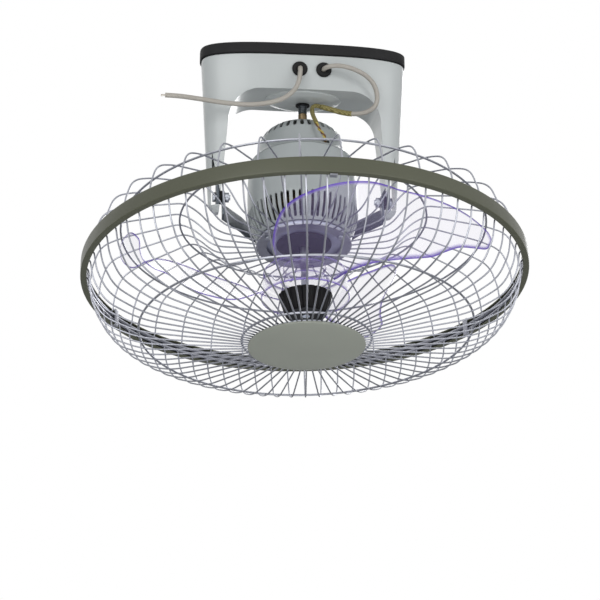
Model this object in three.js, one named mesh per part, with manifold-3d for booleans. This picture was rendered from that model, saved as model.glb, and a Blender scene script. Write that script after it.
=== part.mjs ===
// Orbital ceiling fan. Millimetres, +Z up, origin in the middle of the face that meets the ceiling,
// -Y towards the side with the two cable glands. The head hangs on a gimbal below the canopy, and a
// slow crank on top of the motor, held by a fixed link, drives it round.
import * as THREE from 'three';
import { mergeVertices } from 'three/addons/utils/BufferGeometryUtils.js';
import Module from 'manifold-3d';

const wasm = await Module();
wasm.setup();

// ---- driving dimensions ----
const GAP = 0.3; // play between two pieces that touch
const RAD = Math.PI / 180;

// canopy, its widths measured from the inside of the yoke that it hides
const YOKE_INNER_HALF = 89;
const RIM_HALF_WIDTH = YOKE_INNER_HALF + 22;
const RIM_HALF_DEPTH = 36;
const RIM_HEIGHT = 12;
const RIM_WALL = 3;
const RIM_OVERHANG = 1.5;
const OVAL_POWER = 3;
const PLATE_THICK = 2.5;
const SHELL_WALL = 2.4;
const DECK_BOTTOM = -51.3;
const LEG_BOTTOM = -181;
const LEG_HALF_WIDTH = YOKE_INNER_HALF + 10.8;
const LEG_HALF_DEPTH = 17;
const ARCH_FOOT_HALF = YOKE_INNER_HALF + 0.5;
const ARCH_TOP_HALF = YOKE_INNER_HALF - 7.5;
const ARCH_CORNER = 33;
const POCKET_HALF_DEPTH = 13.5;
const POCKET_MOUTH_TOP = -150; // above it the inner face of a leg is closed
const DISH_RADIUS = 41;
const DISH_DEPTH = 4.7;
const DISH_SQUASH = 0.72; // the dish is an oval, shorter front to back
const GLAND_RADIUS = 8.25;
const GLAND_HOLE = 6;
const GLAND_DROP = 29;
const POWER_GLAND_X = -7;
const MOTOR_GLAND_X = 18.5;
const CORD_DIAMETER = 5;

// gimbal
const PIVOT_DROP = 163; // bolt axis below the ceiling
const REST_TILT = 12.07; // head tilt at rest, degrees
const YOKE_THICK = 3;
const YOKE_HALF_DEPTH = 11;
const BOLT_RADIUS = 3;
const BOLT_HEAD_RADIUS = 5.4;
const SPACER_RADIUS = 7.5;
const STRAP_THICK = 2.5;
const STRAP_WIDTH = 17.5;
const STRAP_TOP = -6.5;
const MOTOR_RADIUS = 58.5;
const STRAP_HOOP_RADIUS = MOTOR_RADIUS + 10.5;
const EAR_HALF_DEPTH = 8;

// orbit link and crank
const BALL_DROP = 72;
const BALL_RADIUS = 4.7;
const ROD_RADIUS = 4.7;
const CRANK_ARM_THICK = 2.8;
const WORM_WHEEL_TEETH = 30;
const PINION_TEETH = 6;
const CROWN_TEETH = 36;

// motor, heights along the head's axis from the pivot
const MOTOR_TOP = 80;
const MOTOR_PARTING = 38;
const MOTOR_BOTTOM = -50;
const COVER_WALL = 2;
const TOP_SLOTS = 26;
const BOTTOM_SLOTS = 36;
const END_PLATE_RADIUS = MOTOR_RADIUS - 11;
const END_PLATE_THICK = 4;
const SHAFT_RADIUS = 4;
const BEARING_RADIUS = 11;
const BEARING_HEIGHT = 6.5;
const STATOR_BOTTOM = -18;
const STATOR_TOP = 22;
const ROTOR_RADIUS = 30;

// guard
const BAND_RADIUS = 230;
const BAND_TOP = -83.2;
const BAND_BOTTOM = -99.2;
const BAND_WALL = 1.7;
const BAND_LIP = 6.5;
const WIRE_RADIUS = 1.1;
const RING_RADIUS = 1.6;
const RIM_WIRE_RADIUS = 2;
const FRONT_WIRES = 60;
const REAR_WIRES = 36;
const FRONT_FIRST = 3; // angle of the first wire of each guard, degrees
const REAR_FIRST = 2.3;
const BEND_RING = [BAND_RADIUS - 60, -153];
const INNER_RING = [66, -162.5];
const RING_TO_WIRE = 2.9; // middle of a wire to the middle of the ring that is spot-welded across it
const REAR_RING_OUTER = [BAND_RADIUS - 39.5, -41.2];
const REAR_RING_INNER = [BAND_RADIUS - 100.5, -26.8];
const BADGE_RADIUS = 59.8;
const BADGE_TOP = -168.3;
const BADGE_RIM_THICK = 1.7;
const BADGE_DOME = 3;

// blades
const BLADE_COUNT = 3;
const BLADE_RADIUS = 203;
const BLADE_THICK = 2.2;
const HUB_RADIUS = 46;
const HUB_FRONT = -116;
const HUB_BACK = -86;
const HUB_WALL = 2.2;
const BOSS_RADIUS = 23.5;
const BOSS_BACK = -80;
const NUT_RADIUS = 28;
const NUT_NOSE_RADIUS = 21;
const NUT_HEIGHT = 22;
const NUT_RIBS = 24;

const FINISH = {
  greyPaint: { color: 0xc9cfd0, roughness: 0.28, metalness: 0.0 },
  darkTrim: { color: 0x2c2d2e, roughness: 0.5, metalness: 0.0 },
  steel: { color: 0x8d9296, roughness: 0.4, metalness: 0.9 },
  darkSteel: { color: 0x454b50, roughness: 0.45, metalness: 0.7 },
  black: { color: 0x111112, roughness: 0.6, metalness: 0.0 },
  brass: { color: 0x8a6a45, roughness: 0.4, metalness: 0.9 },
  motorPaint: { color: 0xa9b1b0, roughness: 0.35, metalness: 0.1 },
  copper: { color: 0xa0522a, roughness: 0.45, metalness: 0.8 },
  olive: { color: 0x6b6e5c, roughness: 0.4, metalness: 0.1 },
  badgeGrey: { color: 0x8b9384, roughness: 0.45, metalness: 0.1 },
  chrome: { color: 0xa7a9ae, roughness: 0.25, metalness: 1.0 },
  violet: { color: 0xb9a4e6, roughness: 0.1, metalness: 0.0 },
  cordGrey: { color: 0xb0aaa4, roughness: 0.6, metalness: 0.0 },
  sleeve: { color: 0x8c8245, roughness: 0.7, metalness: 0.0 },
  board: { color: 0x2f6a3c, roughness: 0.6, metalness: 0.0 },
  nylon: { color: 0xe6e2d6, roughness: 0.5, metalness: 0.0 },
};

// ---- helpers ----
function welded(source) {
  let geometry = source.index ? source.toNonIndexed() : source.clone();
  geometry.deleteAttribute('normal');
  geometry.deleteAttribute('uv');
  geometry = mergeVertices(geometry, 1e-4);
  const position = geometry.attributes.position;
  const kept = [];
  const index = geometry.index.array;
  for (let i = 0; i < index.length; i += 3) {
    const [a, b, c] = [index[i], index[i + 1], index[i + 2]];
    if (a !== b && b !== c && a !== c) kept.push([a, b, c]);
  }
  const [p, q, r] = [new THREE.Vector3(), new THREE.Vector3(), new THREE.Vector3()];
  let volume = 0;
  for (const [a, b, c] of kept) {
    p.fromBufferAttribute(position, a);
    q.fromBufferAttribute(position, b);
    r.fromBufferAttribute(position, c);
    volume += p.dot(q.cross(r));
  }
  geometry.setIndex(kept.flatMap(([a, b, c]) => (volume < 0 ? [a, c, b] : [a, b, c])));
  return geometry;
}

function solid(geometry) {
  const clean = welded(geometry);
  return new wasm.Manifold(new wasm.Mesh({
    numProp: 3,
    vertProperties: new Float32Array(clean.attributes.position.array),
    triVerts: new Uint32Array(clean.index.array),
  }));
}

const SLACK = 0.08; // detail finer than this is dropped after a cut or a join

function geometryOf(manifold) {
  const mesh = manifold.asOriginal().simplify(SLACK).getMesh();
  const geometry = new THREE.BufferGeometry();
  geometry.setAttribute('position', new THREE.BufferAttribute(new Float32Array(mesh.vertProperties), 3));
  geometry.setIndex([...mesh.triVerts]);
  return geometry;
}

function cut(body, ...tools) {
  return geometryOf(tools.reduce((left, tool) => left.subtract(solid(tool)), solid(body)));
}

// copies of a shape at even turns about Z, as one solid
function aroundAxis(geometry, count, first) {
  const copies = [];
  for (let i = 0; i < count; i += 1) {
    copies.push(solid(geometry.clone().rotateZ((first + (360 * i) / count) * RAD)));
  }
  return copies.reduce((sum, next) => sum.add(next));
}

function join(body, ...others) {
  return geometryOf(others.reduce((sum, other) => sum.add(solid(other)), solid(body)));
}

// a closed outline of [radius, height] pairs turned about Z
function revolve(outline, sides = 36) {
  const points = outline.map(([radius, height]) => new THREE.Vector2(radius, height));
  return new THREE.LatheGeometry(points, sides).rotateX(Math.PI / 2);
}

function rod(radius, bottom, top, sides = 12) {
  return revolve([[0, bottom], [radius, bottom], [radius, top], [0, top]], sides);
}

function ring(inner, outer, bottom, top, sides = 16) {
  const outline = [[inner, bottom], [outer, bottom], [outer, top], [inner, top], [inner, bottom]];
  return revolve(outline, sides);
}

function box(x0, x1, y0, y1, z0, z1) {
  const geometry = new THREE.BoxGeometry(x1 - x0, y1 - y0, z1 - z0);
  return geometry.translate((x0 + x1) / 2, (y0 + y1) / 2, (z0 + z1) / 2);
}

function extrude(points, bottom, top) {
  const shape = new THREE.Shape(points.map(([x, y]) => new THREE.Vector2(x, y)));
  const geometry = new THREE.ExtrudeGeometry(shape, { depth: top - bottom, bevelEnabled: false });
  return geometry.translate(0, 0, bottom);
}

function arc(centreX, centreY, radius, from, to, steps) {
  const points = [];
  for (let i = 0; i <= steps; i += 1) {
    const angle = (from + ((to - from) * i) / steps) * RAD;
    const [x, y] = [centreX + radius * Math.cos(angle), centreY + radius * Math.sin(angle)];
    points.push([x, y].map((value) => (Math.abs(value) < 1e-9 ? 0 : value)));
  }
  return points;
}

const alongX = (geometry) => geometry.rotateY(Math.PI / 2);
const alongY = (geometry) => geometry.rotateX(-Math.PI / 2);

// the straight runs between listed points, so that each step of a sweep lands on a point
class Polyline extends THREE.Curve {
  constructor(points) {
    super();
    this.points = points;
  }

  getUtoTmapping(u) {
    return u;
  }

  getPoint(t, target = new THREE.Vector3()) {
    const place = Math.min(Math.max(t, 0), 1) * (this.points.length - 1);
    const i = Math.min(Math.floor(place), this.points.length - 2);
    return target.copy(this.points[i]).lerp(this.points[i + 1], place - i);
  }
}

function sweep(points, radius, sides) {
  const path = new Polyline(points.map((point) => new THREE.Vector3(...point)));
  const section = new THREE.Shape(arc(0, 0, radius, 180 / sides, 180 / sides + 360, sides)
    .slice(0, -1).map(([x, y]) => new THREE.Vector2(x, y)));
  return new THREE.ExtrudeGeometry(section, { steps: points.length - 1, extrudePath: path });
}

// a cord along a smooth curve through hand-set points
function cord(points, diameter, steps, sides = 8) {
  const curve = new THREE.CatmullRomCurve3(points.map((point) => new THREE.Vector3(...point)), false, 'centripetal');
  const section = new THREE.Shape(arc(0, 0, diameter / 2, 0, 360, sides).slice(0, -1)
    .map(([x, y]) => new THREE.Vector2(x, y)));
  return new THREE.ExtrudeGeometry(section, { steps, extrudePath: curve });
}

function torus(radius, height, wire, around = 60, sides = 3) {
  return new THREE.TorusGeometry(radius, wire, sides, around).translate(0, 0, height);
}

function part(name, geometry, finish) {
  const mesh = new THREE.Mesh(welded(geometry), new THREE.MeshStandardMaterial(FINISH[finish]));
  mesh.name = name;
  mesh.geometry.computeVertexNormals();
  return mesh;
}

// ---- canopy ----
function oval(halfWidth, halfDepth, sides = 36) {
  const points = [];
  for (let i = 0; i < sides; i += 1) {
    const angle = (2 * Math.PI * i) / sides;
    const [c, s] = [Math.cos(angle), Math.sin(angle)];
    points.push([
      halfWidth * Math.sign(c) * Math.abs(c) ** (2 / OVAL_POWER),
      halfDepth * Math.sign(s) * Math.abs(s) ** (2 / OVAL_POWER),
    ]);
  }
  return points;
}

function loft(levels) {
  const sides = levels[0].outline.length;
  const vertices = [];
  for (const { outline, height } of levels) {
    for (const [x, y] of outline) vertices.push(x, y, height);
  }
  vertices.push(0, 0, levels[0].height, 0, 0, levels.at(-1).height);
  const index = [];
  const firstCentre = levels.length * sides;
  const lastRow = (levels.length - 1) * sides;
  for (let i = 0; i < sides; i += 1) {
    const next = (i + 1) % sides;
    for (let row = 0; row < levels.length - 1; row += 1) {
      const [a, b] = [row * sides + i, row * sides + next];
      index.push(a, b, b + sides, a, b + sides, a + sides);
    }
    index.push(firstCentre, next, i, firstCentre + 1, lastRow + i, lastRow + next);
  }
  const geometry = new THREE.BufferGeometry();
  geometry.setAttribute('position', new THREE.Float32BufferAttribute(vertices, 3));
  geometry.setIndex(index);
  return geometry;
}

const SHELL_TOP = -RIM_HEIGHT - GAP;
const SHELL_HALF_WIDTH = RIM_HALF_WIDTH - RIM_OVERHANG;
const SHELL_HALF_DEPTH = RIM_HALF_DEPTH - RIM_OVERHANG;
const DECK_TOP = DECK_BOTTOM + SHELL_WALL;
const DISH_BOTTOM = DECK_BOTTOM - DISH_DEPTH;

// half width and half depth of the canopy at a height
function shellSize(height) {
  const down = (SHELL_TOP - height) / (SHELL_TOP - LEG_BOTTOM);
  const halfWidth = SHELL_HALF_WIDTH + (LEG_HALF_WIDTH - SHELL_HALF_WIDTH) * down;
  const legDown = Math.max(0, (DECK_BOTTOM - height) / (DECK_BOTTOM - LEG_BOTTOM));
  const halfDepth = SHELL_HALF_DEPTH + (LEG_HALF_DEPTH - SHELL_HALF_DEPTH) * legDown ** 0.8;
  return [halfWidth, halfDepth];
}

function shellBody(inset, top, bottom) {
  const leg = DECK_BOTTOM - bottom;
  const heights = [0, 0.024, 0.07, 0.24, 0.43, 0.62, 0.82, 1].map((share) => bottom + leg * share);
  const levels = [...heights, top].map((height) => {
    const [halfWidth, halfDepth] = shellSize(height);
    const rounding = inset === 0 ? Math.max(0, 9 - (height - bottom)) ** 2 / 14 : 0;
    return { height, outline: oval(halfWidth - inset, halfDepth - inset - rounding) };
  });
  return loft(levels);
}

function archOutline() {
  const cornerX = ARCH_TOP_HALF - ARCH_CORNER;
  const cornerZ = DECK_BOTTOM - ARCH_CORNER;
  const right = arc(cornerX, cornerZ, ARCH_CORNER, 0, 90, 8);
  const left = right.map(([x, z]) => [-x, z]).reverse();
  const below = LEG_BOTTOM - 5;
  return [[ARCH_FOOT_HALF, below], ...right, ...left, [-ARCH_FOOT_HALF, below]];
}

function canopyShell() {
  const span = 2 * RIM_HALF_DEPTH;
  const arch = extrude(archOutline(), -span, span).rotateX(Math.PI / 2);
  const cavityOutline = (height) => {
    const [halfWidth, halfDepth] = shellSize(height);
    return { height, outline: oval(halfWidth - SHELL_WALL, halfDepth - SHELL_WALL) };
  };
  const cavity = loft([cavityOutline(DECK_TOP), cavityOutline(SHELL_TOP + 1)]);
  const pockets = [-1, 1].map((side) => {
    const outer = side * (LEG_HALF_WIDTH - SHELL_WALL);
    const closed = side * (YOKE_INNER_HALF - GAP);
    const open = side * (ARCH_TOP_HALF - 3);
    const deep = POCKET_HALF_DEPTH;
    return join(
      box(Math.min(closed, outer), Math.max(closed, outer), -deep, deep, LEG_BOTTOM + 7, DECK_TOP + 1),
      box(Math.min(open, outer), Math.max(open, outer), -deep, deep, LEG_BOTTOM + 7, POCKET_MOUTH_TOP),
    );
  });
  const dish = revolve([
    [0, DECK_BOTTOM + 1], [DISH_RADIUS, DECK_BOTTOM + 1], [DISH_RADIUS, DECK_BOTTOM - 1.2],
    [DISH_RADIUS - 9, DISH_BOTTOM + 0.6], [DISH_RADIUS - 14, DISH_BOTTOM], [0, DISH_BOTTOM],
  ], 40).scale(1, DISH_SQUASH, 1);
  const glandHoles = [POWER_GLAND_X, MOTOR_GLAND_X].map((x) => {
    const hole = alongY(rod(GLAND_HOLE + GAP, -10, 10));
    return hole.translate(x, -SHELL_HALF_DEPTH, -GLAND_DROP);
  });
  const linkHole = rod(ROD_RADIUS + GAP, DISH_BOTTOM - 1, DECK_TOP + 1);
  const body = join(cut(shellBody(0, SHELL_TOP, LEG_BOTTOM), arch), dish);
  return cut(body, cavity, ...pockets, ...glandHoles, linkHole);
}

function trimRim() {
  const inner = extrude(oval(RIM_HALF_WIDTH - RIM_WALL, RIM_HALF_DEPTH - RIM_WALL), -RIM_HEIGHT - 1, 1);
  return cut(extrude(oval(RIM_HALF_WIDTH, RIM_HALF_DEPTH), -RIM_HEIGHT, 0), inner);
}

const SLOT_HALF_SPACING = 62;

function ceilingPlate() {
  const halfWidth = RIM_HALF_WIDTH - RIM_WALL - GAP;
  const halfDepth = RIM_HALF_DEPTH - RIM_WALL - GAP;
  const slots = [-1, 1].map((side) => {
    const slot = box(-9, 9, -2.7, 2.7, -PLATE_THICK - 1, 1);
    return slot.translate(side * SLOT_HALF_SPACING, 0, 0);
  });
  return cut(extrude(oval(halfWidth, halfDepth), -PLATE_THICK, 0), ...slots);
}

const YOKE_TOP = -PLATE_THICK - GAP;
const YOKE_OUTER_HALF = YOKE_INNER_HALF + YOKE_THICK;

function yokeFrame() {
  const bottom = -PIVOT_DROP - YOKE_HALF_DEPTH;
  const outline = [
    [-YOKE_OUTER_HALF, bottom], [-YOKE_INNER_HALF, bottom], [-YOKE_INNER_HALF, YOKE_TOP - YOKE_THICK],
    [YOKE_INNER_HALF, YOKE_TOP - YOKE_THICK], [YOKE_INNER_HALF, bottom], [YOKE_OUTER_HALF, bottom],
    [YOKE_OUTER_HALF, YOKE_TOP], [-YOKE_OUTER_HALF, YOKE_TOP],
  ];
  const bar = extrude(outline, -YOKE_HALF_DEPTH, YOKE_HALF_DEPTH).rotateX(Math.PI / 2);
  const boltHole = alongX(rod(BOLT_RADIUS + GAP, -YOKE_OUTER_HALF - 1, YOKE_OUTER_HALF + 1));
  const slots = [-1, 1].map((side) => {
    const slot = box(-9, 9, -2.7, 2.7, YOKE_TOP - YOKE_THICK - 1, YOKE_TOP + 1);
    return slot.translate(side * SLOT_HALF_SPACING, 0, 0);
  });
  return cut(bar, boltHole.translate(0, 0, -PIVOT_DROP), ...slots);
}

function gland(x) {
  const flange = ring(CORD_DIAMETER / 2 + 2 * GAP, GLAND_RADIUS, 0, 2.6, 16);
  const neck = ring(CORD_DIAMETER / 2 + 2 * GAP, GLAND_HOLE, -8, 0.5, 16);
  const grommet = join(flange, neck).rotateX(Math.PI / 2);
  return grommet.translate(x, -SHELL_HALF_DEPTH - GAP, -GLAND_DROP);
}

const POWER_CORD = [
  [-7, -30, -29], [-7, -34.5, -29], [-7, -39, -29.2], [-7.4, -43.6, -33.5], [-9.3, -46.5, -46.5], [-13.5, -47, -56.5],
  [-24, -46, -66], [-39.5, -45, -71.8], [-60, -44, -74.5], [-86, -43, -73.5], [-112, -42, -70],
  [-133, -42, -67.8], [-148.5, -42, -67.3],
];
const MOTOR_CORD = [
  [18.5, -30, -29], [18.5, -34.5, -29], [18.7, -39, -29], [23, -44.2, -28.6], [32.7, -47, -28.4], [43.6, -48, -30.4],
  [55.2, -48, -34.8], [65, -46, -40.6], [71.7, -44, -49.3], [74.6, -40, -59.9], [72.6, -36, -67.8],
  [65, -31, -72.5], [52.6, -25, -73.2], [39.9, -20, -70.3], [28.7, -15.6, -65.7], [18.6, -12.4, -62],
];
const LEAD_SLEEVE = [
  [18, -12.2, -61.8], [13, -10.8, -60.4], [9.6, -12, -62.6], [8.2, -17, -69], [8.4, -27, -78.5],
  [10.2, -35.5, -88],
];
const LEAD_WIRES = [
  [10.4, -36.3, -89], [13, -39.5, -97], [17, -42.5, -104], [19.6, -40, -108.5], [20, -34, -109.2],
  [20, -31, -109.6],
];

function linkRod() {
  return rod(ROD_RADIUS, -BALL_DROP + 5 + GAP, YOKE_TOP - YOKE_THICK - GAP, 16);
}

function linkNut() {
  const [bottom, top] = [DECK_TOP + GAP, DECK_TOP + 6];
  return cut(rod(9, bottom, top, 6), rod(ROD_RADIUS + 2 * GAP, bottom - 1, top + 1));
}

function linkBall() {
  const cap = arc(0, -BALL_DROP, BALL_RADIUS, 0, -90, 6).reverse();
  return revolve([...cap, [BALL_RADIUS, -BALL_DROP + 5], [0, -BALL_DROP + 5]], 14);
}

// ---- gimbal strap: ears at the yoke, and a hoop behind the motor ----
const EAR_OUTER = YOKE_INNER_HALF - 3.3;
const EAR_INNER = EAR_OUTER - STRAP_THICK;

function hoopOutline() {
  const tangent = 26; // where the straight run meets the round of the hoop, degrees above the X axis
  const round = (radius, from, to) => arc(0, 0, radius, from, to, 14);
  const outer = STRAP_HOOP_RADIUS + STRAP_THICK;
  return [
    [EAR_OUTER, -EAR_HALF_DEPTH], [EAR_OUTER, 5], ...round(outer, tangent, 180 - tangent),
    [-EAR_OUTER, 5], [-EAR_OUTER, -EAR_HALF_DEPTH], [-EAR_INNER, -EAR_HALF_DEPTH], [-EAR_INNER, 4],
    ...round(STRAP_HOOP_RADIUS, 180 - tangent, tangent), [EAR_INNER, 4], [EAR_INNER, -EAR_HALF_DEPTH],
  ];
}

function gimbalStrap() {
  const hoop = extrude(hoopOutline(), STRAP_TOP - STRAP_WIDTH, STRAP_TOP);
  const ears = [-1, 1].map((side) => {
    const tab = [[-EAR_HALF_DEPTH, STRAP_TOP - 3], [EAR_HALF_DEPTH - 3, STRAP_TOP - 3],
      ...arc(-1.5, 0, EAR_HALF_DEPTH - 1.5, 0, 180, 8)];
    const ear = extrude(tab, 0, STRAP_THICK).rotateX(Math.PI / 2).rotateZ(Math.PI / 2);
    return ear.translate(side > 0 ? EAR_INNER : -EAR_OUTER, 0, 0);
  });
  const tail = extrude([[-9, STRAP_TOP - 3], [9, STRAP_TOP - 3], ...arc(0, 1, 9, 0, 180, 10)],
    0, STRAP_THICK).rotateX(Math.PI / 2).translate(0, STRAP_HOOP_RADIUS + STRAP_THICK - 0.4, 0);
  const boltHole = alongX(rod(BOLT_RADIUS + GAP, -EAR_OUTER - 1, EAR_OUTER + 1));
  const pinHole = alongY(rod(BOLT_RADIUS + 1 + GAP, STRAP_HOOP_RADIUS - 5, STRAP_HOOP_RADIUS + 8));
  return cut(join(hoop, ...ears, tail), boltHole, pinHole);
}

function pivotBolt(side) {
  const shank = rod(BOLT_RADIUS, EAR_INNER - 6.5, YOKE_OUTER_HALF + 1);
  const head = rod(BOLT_HEAD_RADIUS, YOKE_OUTER_HALF + GAP, YOKE_OUTER_HALF + 3.6, 6);
  return alongX(join(shank, head)).scale(side, 1, 1).translate(0, 0, -PIVOT_DROP);
}

function pivotSpacer(side) {
  const spacer = ring(BOLT_RADIUS + GAP, SPACER_RADIUS, EAR_OUTER + GAP, YOKE_INNER_HALF - GAP);
  return alongX(spacer).scale(side, 1, 1).translate(0, 0, -PIVOT_DROP);
}

function pivotNut(side) {
  const nut = ring(BOLT_RADIUS + GAP, BOLT_HEAD_RADIUS, EAR_INNER - 5, EAR_INNER - GAP);
  return alongX(nut).scale(side, 1, 1).translate(0, 0, -PIVOT_DROP);
}

// ---- motor ----
function slotCutter(count, width, inner, outer, bottom, top) {
  const half = width / 2;
  return aroundAxis(box(inner, outer, -half, half, bottom, top), count, 180 / count);
}

const CRANK_HOLE = 9;
const COVER_FOOT = MOTOR_RADIUS - 1.7; // radius at the line where the two covers meet
const DOME_RADIUS = MOTOR_RADIUS - 10.5;

function topCover() {
  const wall = COVER_WALL;
  const outline = [
    [CRANK_HOLE, MOTOR_TOP - wall], [CRANK_HOLE, MOTOR_TOP], [31, MOTOR_TOP], [DOME_RADIUS - 11, MOTOR_TOP - 2],
    [DOME_RADIUS - 6, MOTOR_TOP - 7], [DOME_RADIUS - 2.5, MOTOR_TOP - 14], [DOME_RADIUS, MOTOR_TOP - 27],
    [DOME_RADIUS + 2, MOTOR_PARTING + 8], [COVER_FOOT - 0.8, MOTOR_PARTING + 1.5],
    [COVER_FOOT, MOTOR_PARTING + GAP], [COVER_FOOT - wall, MOTOR_PARTING + GAP],
    [COVER_FOOT - wall - 1.3, MOTOR_PARTING + 1.5], [DOME_RADIUS, MOTOR_PARTING + 7],
    [DOME_RADIUS - 2, MOTOR_TOP - 27], [DOME_RADIUS - 4.5, MOTOR_TOP - 14],
    [DOME_RADIUS - 8, MOTOR_TOP - 8.5], [DOME_RADIUS - 12, MOTOR_TOP - 4], [30, MOTOR_TOP - wall],
    [CRANK_HOLE, MOTOR_TOP - wall],
  ];
  const slots = slotCutter(TOP_SLOTS, 3.4, DOME_RADIUS - 12, DOME_RADIUS + 2, MOTOR_TOP - 14, MOTOR_TOP - 4.5);
  const leadHole = alongY(rod(4.6, -MOTOR_RADIUS, -DOME_RADIUS + 8, 16)).translate(20, 0, MOTOR_PARTING + 8);
  const turned = revolve(outline, TOP_SLOTS);
  return geometryOf(solid(turned).subtract(slots).subtract(solid(leadHole)));
}

function bottomCover() {
  const outer = [
    [COVER_FOOT, MOTOR_PARTING], [MOTOR_RADIUS, 8], [MOTOR_RADIUS, -18], [MOTOR_RADIUS - 2.1, -32],
    [END_PLATE_RADIUS + 1.3, MOTOR_BOTTOM + 1],
  ];
  const inner = outer.map(([radius, height]) => [radius - COVER_WALL, height]).reverse();
  const slots = slotCutter(BOTTOM_SLOTS, 2.6, MOTOR_RADIUS - 14, MOTOR_RADIUS + 4, -41, -21);
  const pinHole = alongY(rod(BOLT_RADIUS + GAP, MOTOR_RADIUS - 8, MOTOR_RADIUS + 4));
  const boss = ring(BOLT_RADIUS + GAP, 8, MOTOR_RADIUS - 1.9, MOTOR_RADIUS + 3.5);
  const turned = solid(revolve([...outer, ...inner, outer[0]], BOTTOM_SLOTS)).add(solid(alongY(boss)));
  return geometryOf(turned.subtract(slots).subtract(solid(pinHole)));
}

function rearPin() {
  const reach = STRAP_HOOP_RADIUS + STRAP_THICK;
  const shank = rod(BOLT_RADIUS, MOTOR_RADIUS - 1.8, reach + 4);
  const head = rod(BOLT_HEAD_RADIUS + 1, reach + 1, reach + 4.5, 6);
  return alongY(join(shank, head));
}

const END_PLATE_TOP = MOTOR_BOTTOM + 1 - GAP;
const END_PLATE_BOTTOM = END_PLATE_TOP - END_PLATE_THICK;
const SHAFT_HOLE = SHAFT_RADIUS + 2;
const CUP_INNER = BEARING_RADIUS + GAP;

function endPlate() {
  const outline = [
    [SHAFT_HOLE, END_PLATE_BOTTOM], [END_PLATE_RADIUS, END_PLATE_BOTTOM],
    [END_PLATE_RADIUS, END_PLATE_TOP], [CUP_INNER + 3, END_PLATE_TOP],
    [CUP_INNER + 3, END_PLATE_TOP + BEARING_HEIGHT], [CUP_INNER, END_PLATE_TOP + BEARING_HEIGHT],
    [CUP_INNER, END_PLATE_TOP - 1], [SHAFT_HOLE, END_PLATE_TOP - 1], [SHAFT_HOLE, END_PLATE_BOTTOM],
  ];
  const holes = GUARD_SCREW_ANGLES.map((angle) => {
    const hole = rod(SCREW_RADIUS + GAP, END_PLATE_BOTTOM - 1, END_PLATE_TOP + 1, 8);
    return hole.translate(GUARD_SCREW_CIRCLE, 0, 0).rotateZ(angle * RAD);
  });
  return cut(revolve(outline, 28), ...holes);
}

const SCREW_RADIUS = 1.7;
const GUARD_SCREW_CIRCLE = 43;
const GUARD_SCREW_ANGLES = [85, 205, 325];
const MOUNT_PLATE_TOP = END_PLATE_BOTTOM - GAP;
const MOUNT_PLATE_THICK = 1.8;

function guardScrew(angle) {
  const shank = rod(SCREW_RADIUS, MOUNT_PLATE_TOP - 1, END_PLATE_TOP - 1, 10);
  const headTop = MOUNT_PLATE_TOP - MOUNT_PLATE_THICK - GAP;
  const neck = rod(SCREW_RADIUS, headTop - 1, MOUNT_PLATE_TOP, 10);
  const head = rod(SCREW_RADIUS + 2, headTop - 2, headTop, 12);
  return join(shank, neck, head).translate(GUARD_SCREW_CIRCLE, 0, 0).rotateZ(angle * RAD);
}

function shaftCap() {
  const base = END_PLATE_BOTTOM - GAP;
  return revolve([
    [SHAFT_HOLE, base], [SHAFT_HOLE, base - 5], [14, base - 5], [24, base - 3.4], [29, base - 1],
    [29, base], [SHAFT_HOLE, base],
  ], 24);
}

const SHAFT_BOTTOM = HUB_FRONT - NUT_HEIGHT + 2;
const SHAFT_TOP = 60;
const TOP_BEARING_BOTTOM = 37;

function rotorCore() {
  return ring(SHAFT_RADIUS + GAP, ROTOR_RADIUS, STATOR_BOTTOM, STATOR_TOP, 20);
}

function bearing(bottom) {
  return ring(SHAFT_RADIUS + GAP, BEARING_RADIUS, bottom, bottom + BEARING_HEIGHT);
}

function winding(bottom, top) {
  const middle = (ROTOR_RADIUS + MOTOR_RADIUS) / 2 - 2;
  const half = 9;
  const bulge = (top - bottom) / 4;
  return revolve([
    [middle - half, bottom], [middle + half, bottom], [middle + half + 2, bottom + bulge],
    [middle + half, top], [middle - half, top], [middle - half - 2, bottom + bulge],
    [middle - half, bottom],
  ], 20);
}

function statorCore() {
  const fit = MOTOR_RADIUS - COVER_WALL - 2;
  return ring(ROTOR_RADIUS + 2 * GAP, fit - GAP, STATOR_BOTTOM, STATOR_TOP, 28);
}

// ---- gearbox under the top cover ----
const BRACKET_BOTTOM = TOP_BEARING_BOTTOM + BEARING_HEIGHT + GAP;
const BRACKET_THICK = 2.5;
const BRACKET_TOP = BRACKET_BOTTOM + BRACKET_THICK;
const WORM_RADIUS = 5;
const WHEEL_RADIUS = 7;
const CROSS_Y = WORM_RADIUS + WHEEL_RADIUS + GAP;
const CROSS_Z = BRACKET_TOP + WHEEL_RADIUS + 1.2;
const PINION_RADIUS = 3.4;
const CROWN_RADIUS = 27;
const CROWN_INNER = 20.4;
const CROWN_BOTTOM = CROSS_Z + PINION_RADIUS + GAP;
const CROSS_SHAFT_RADIUS = 2;
const LUG_HALF = 28.5;
const CROWN_DISC_BOTTOM = CROSS_Z + WHEEL_RADIUS + 2 * GAP;

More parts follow.
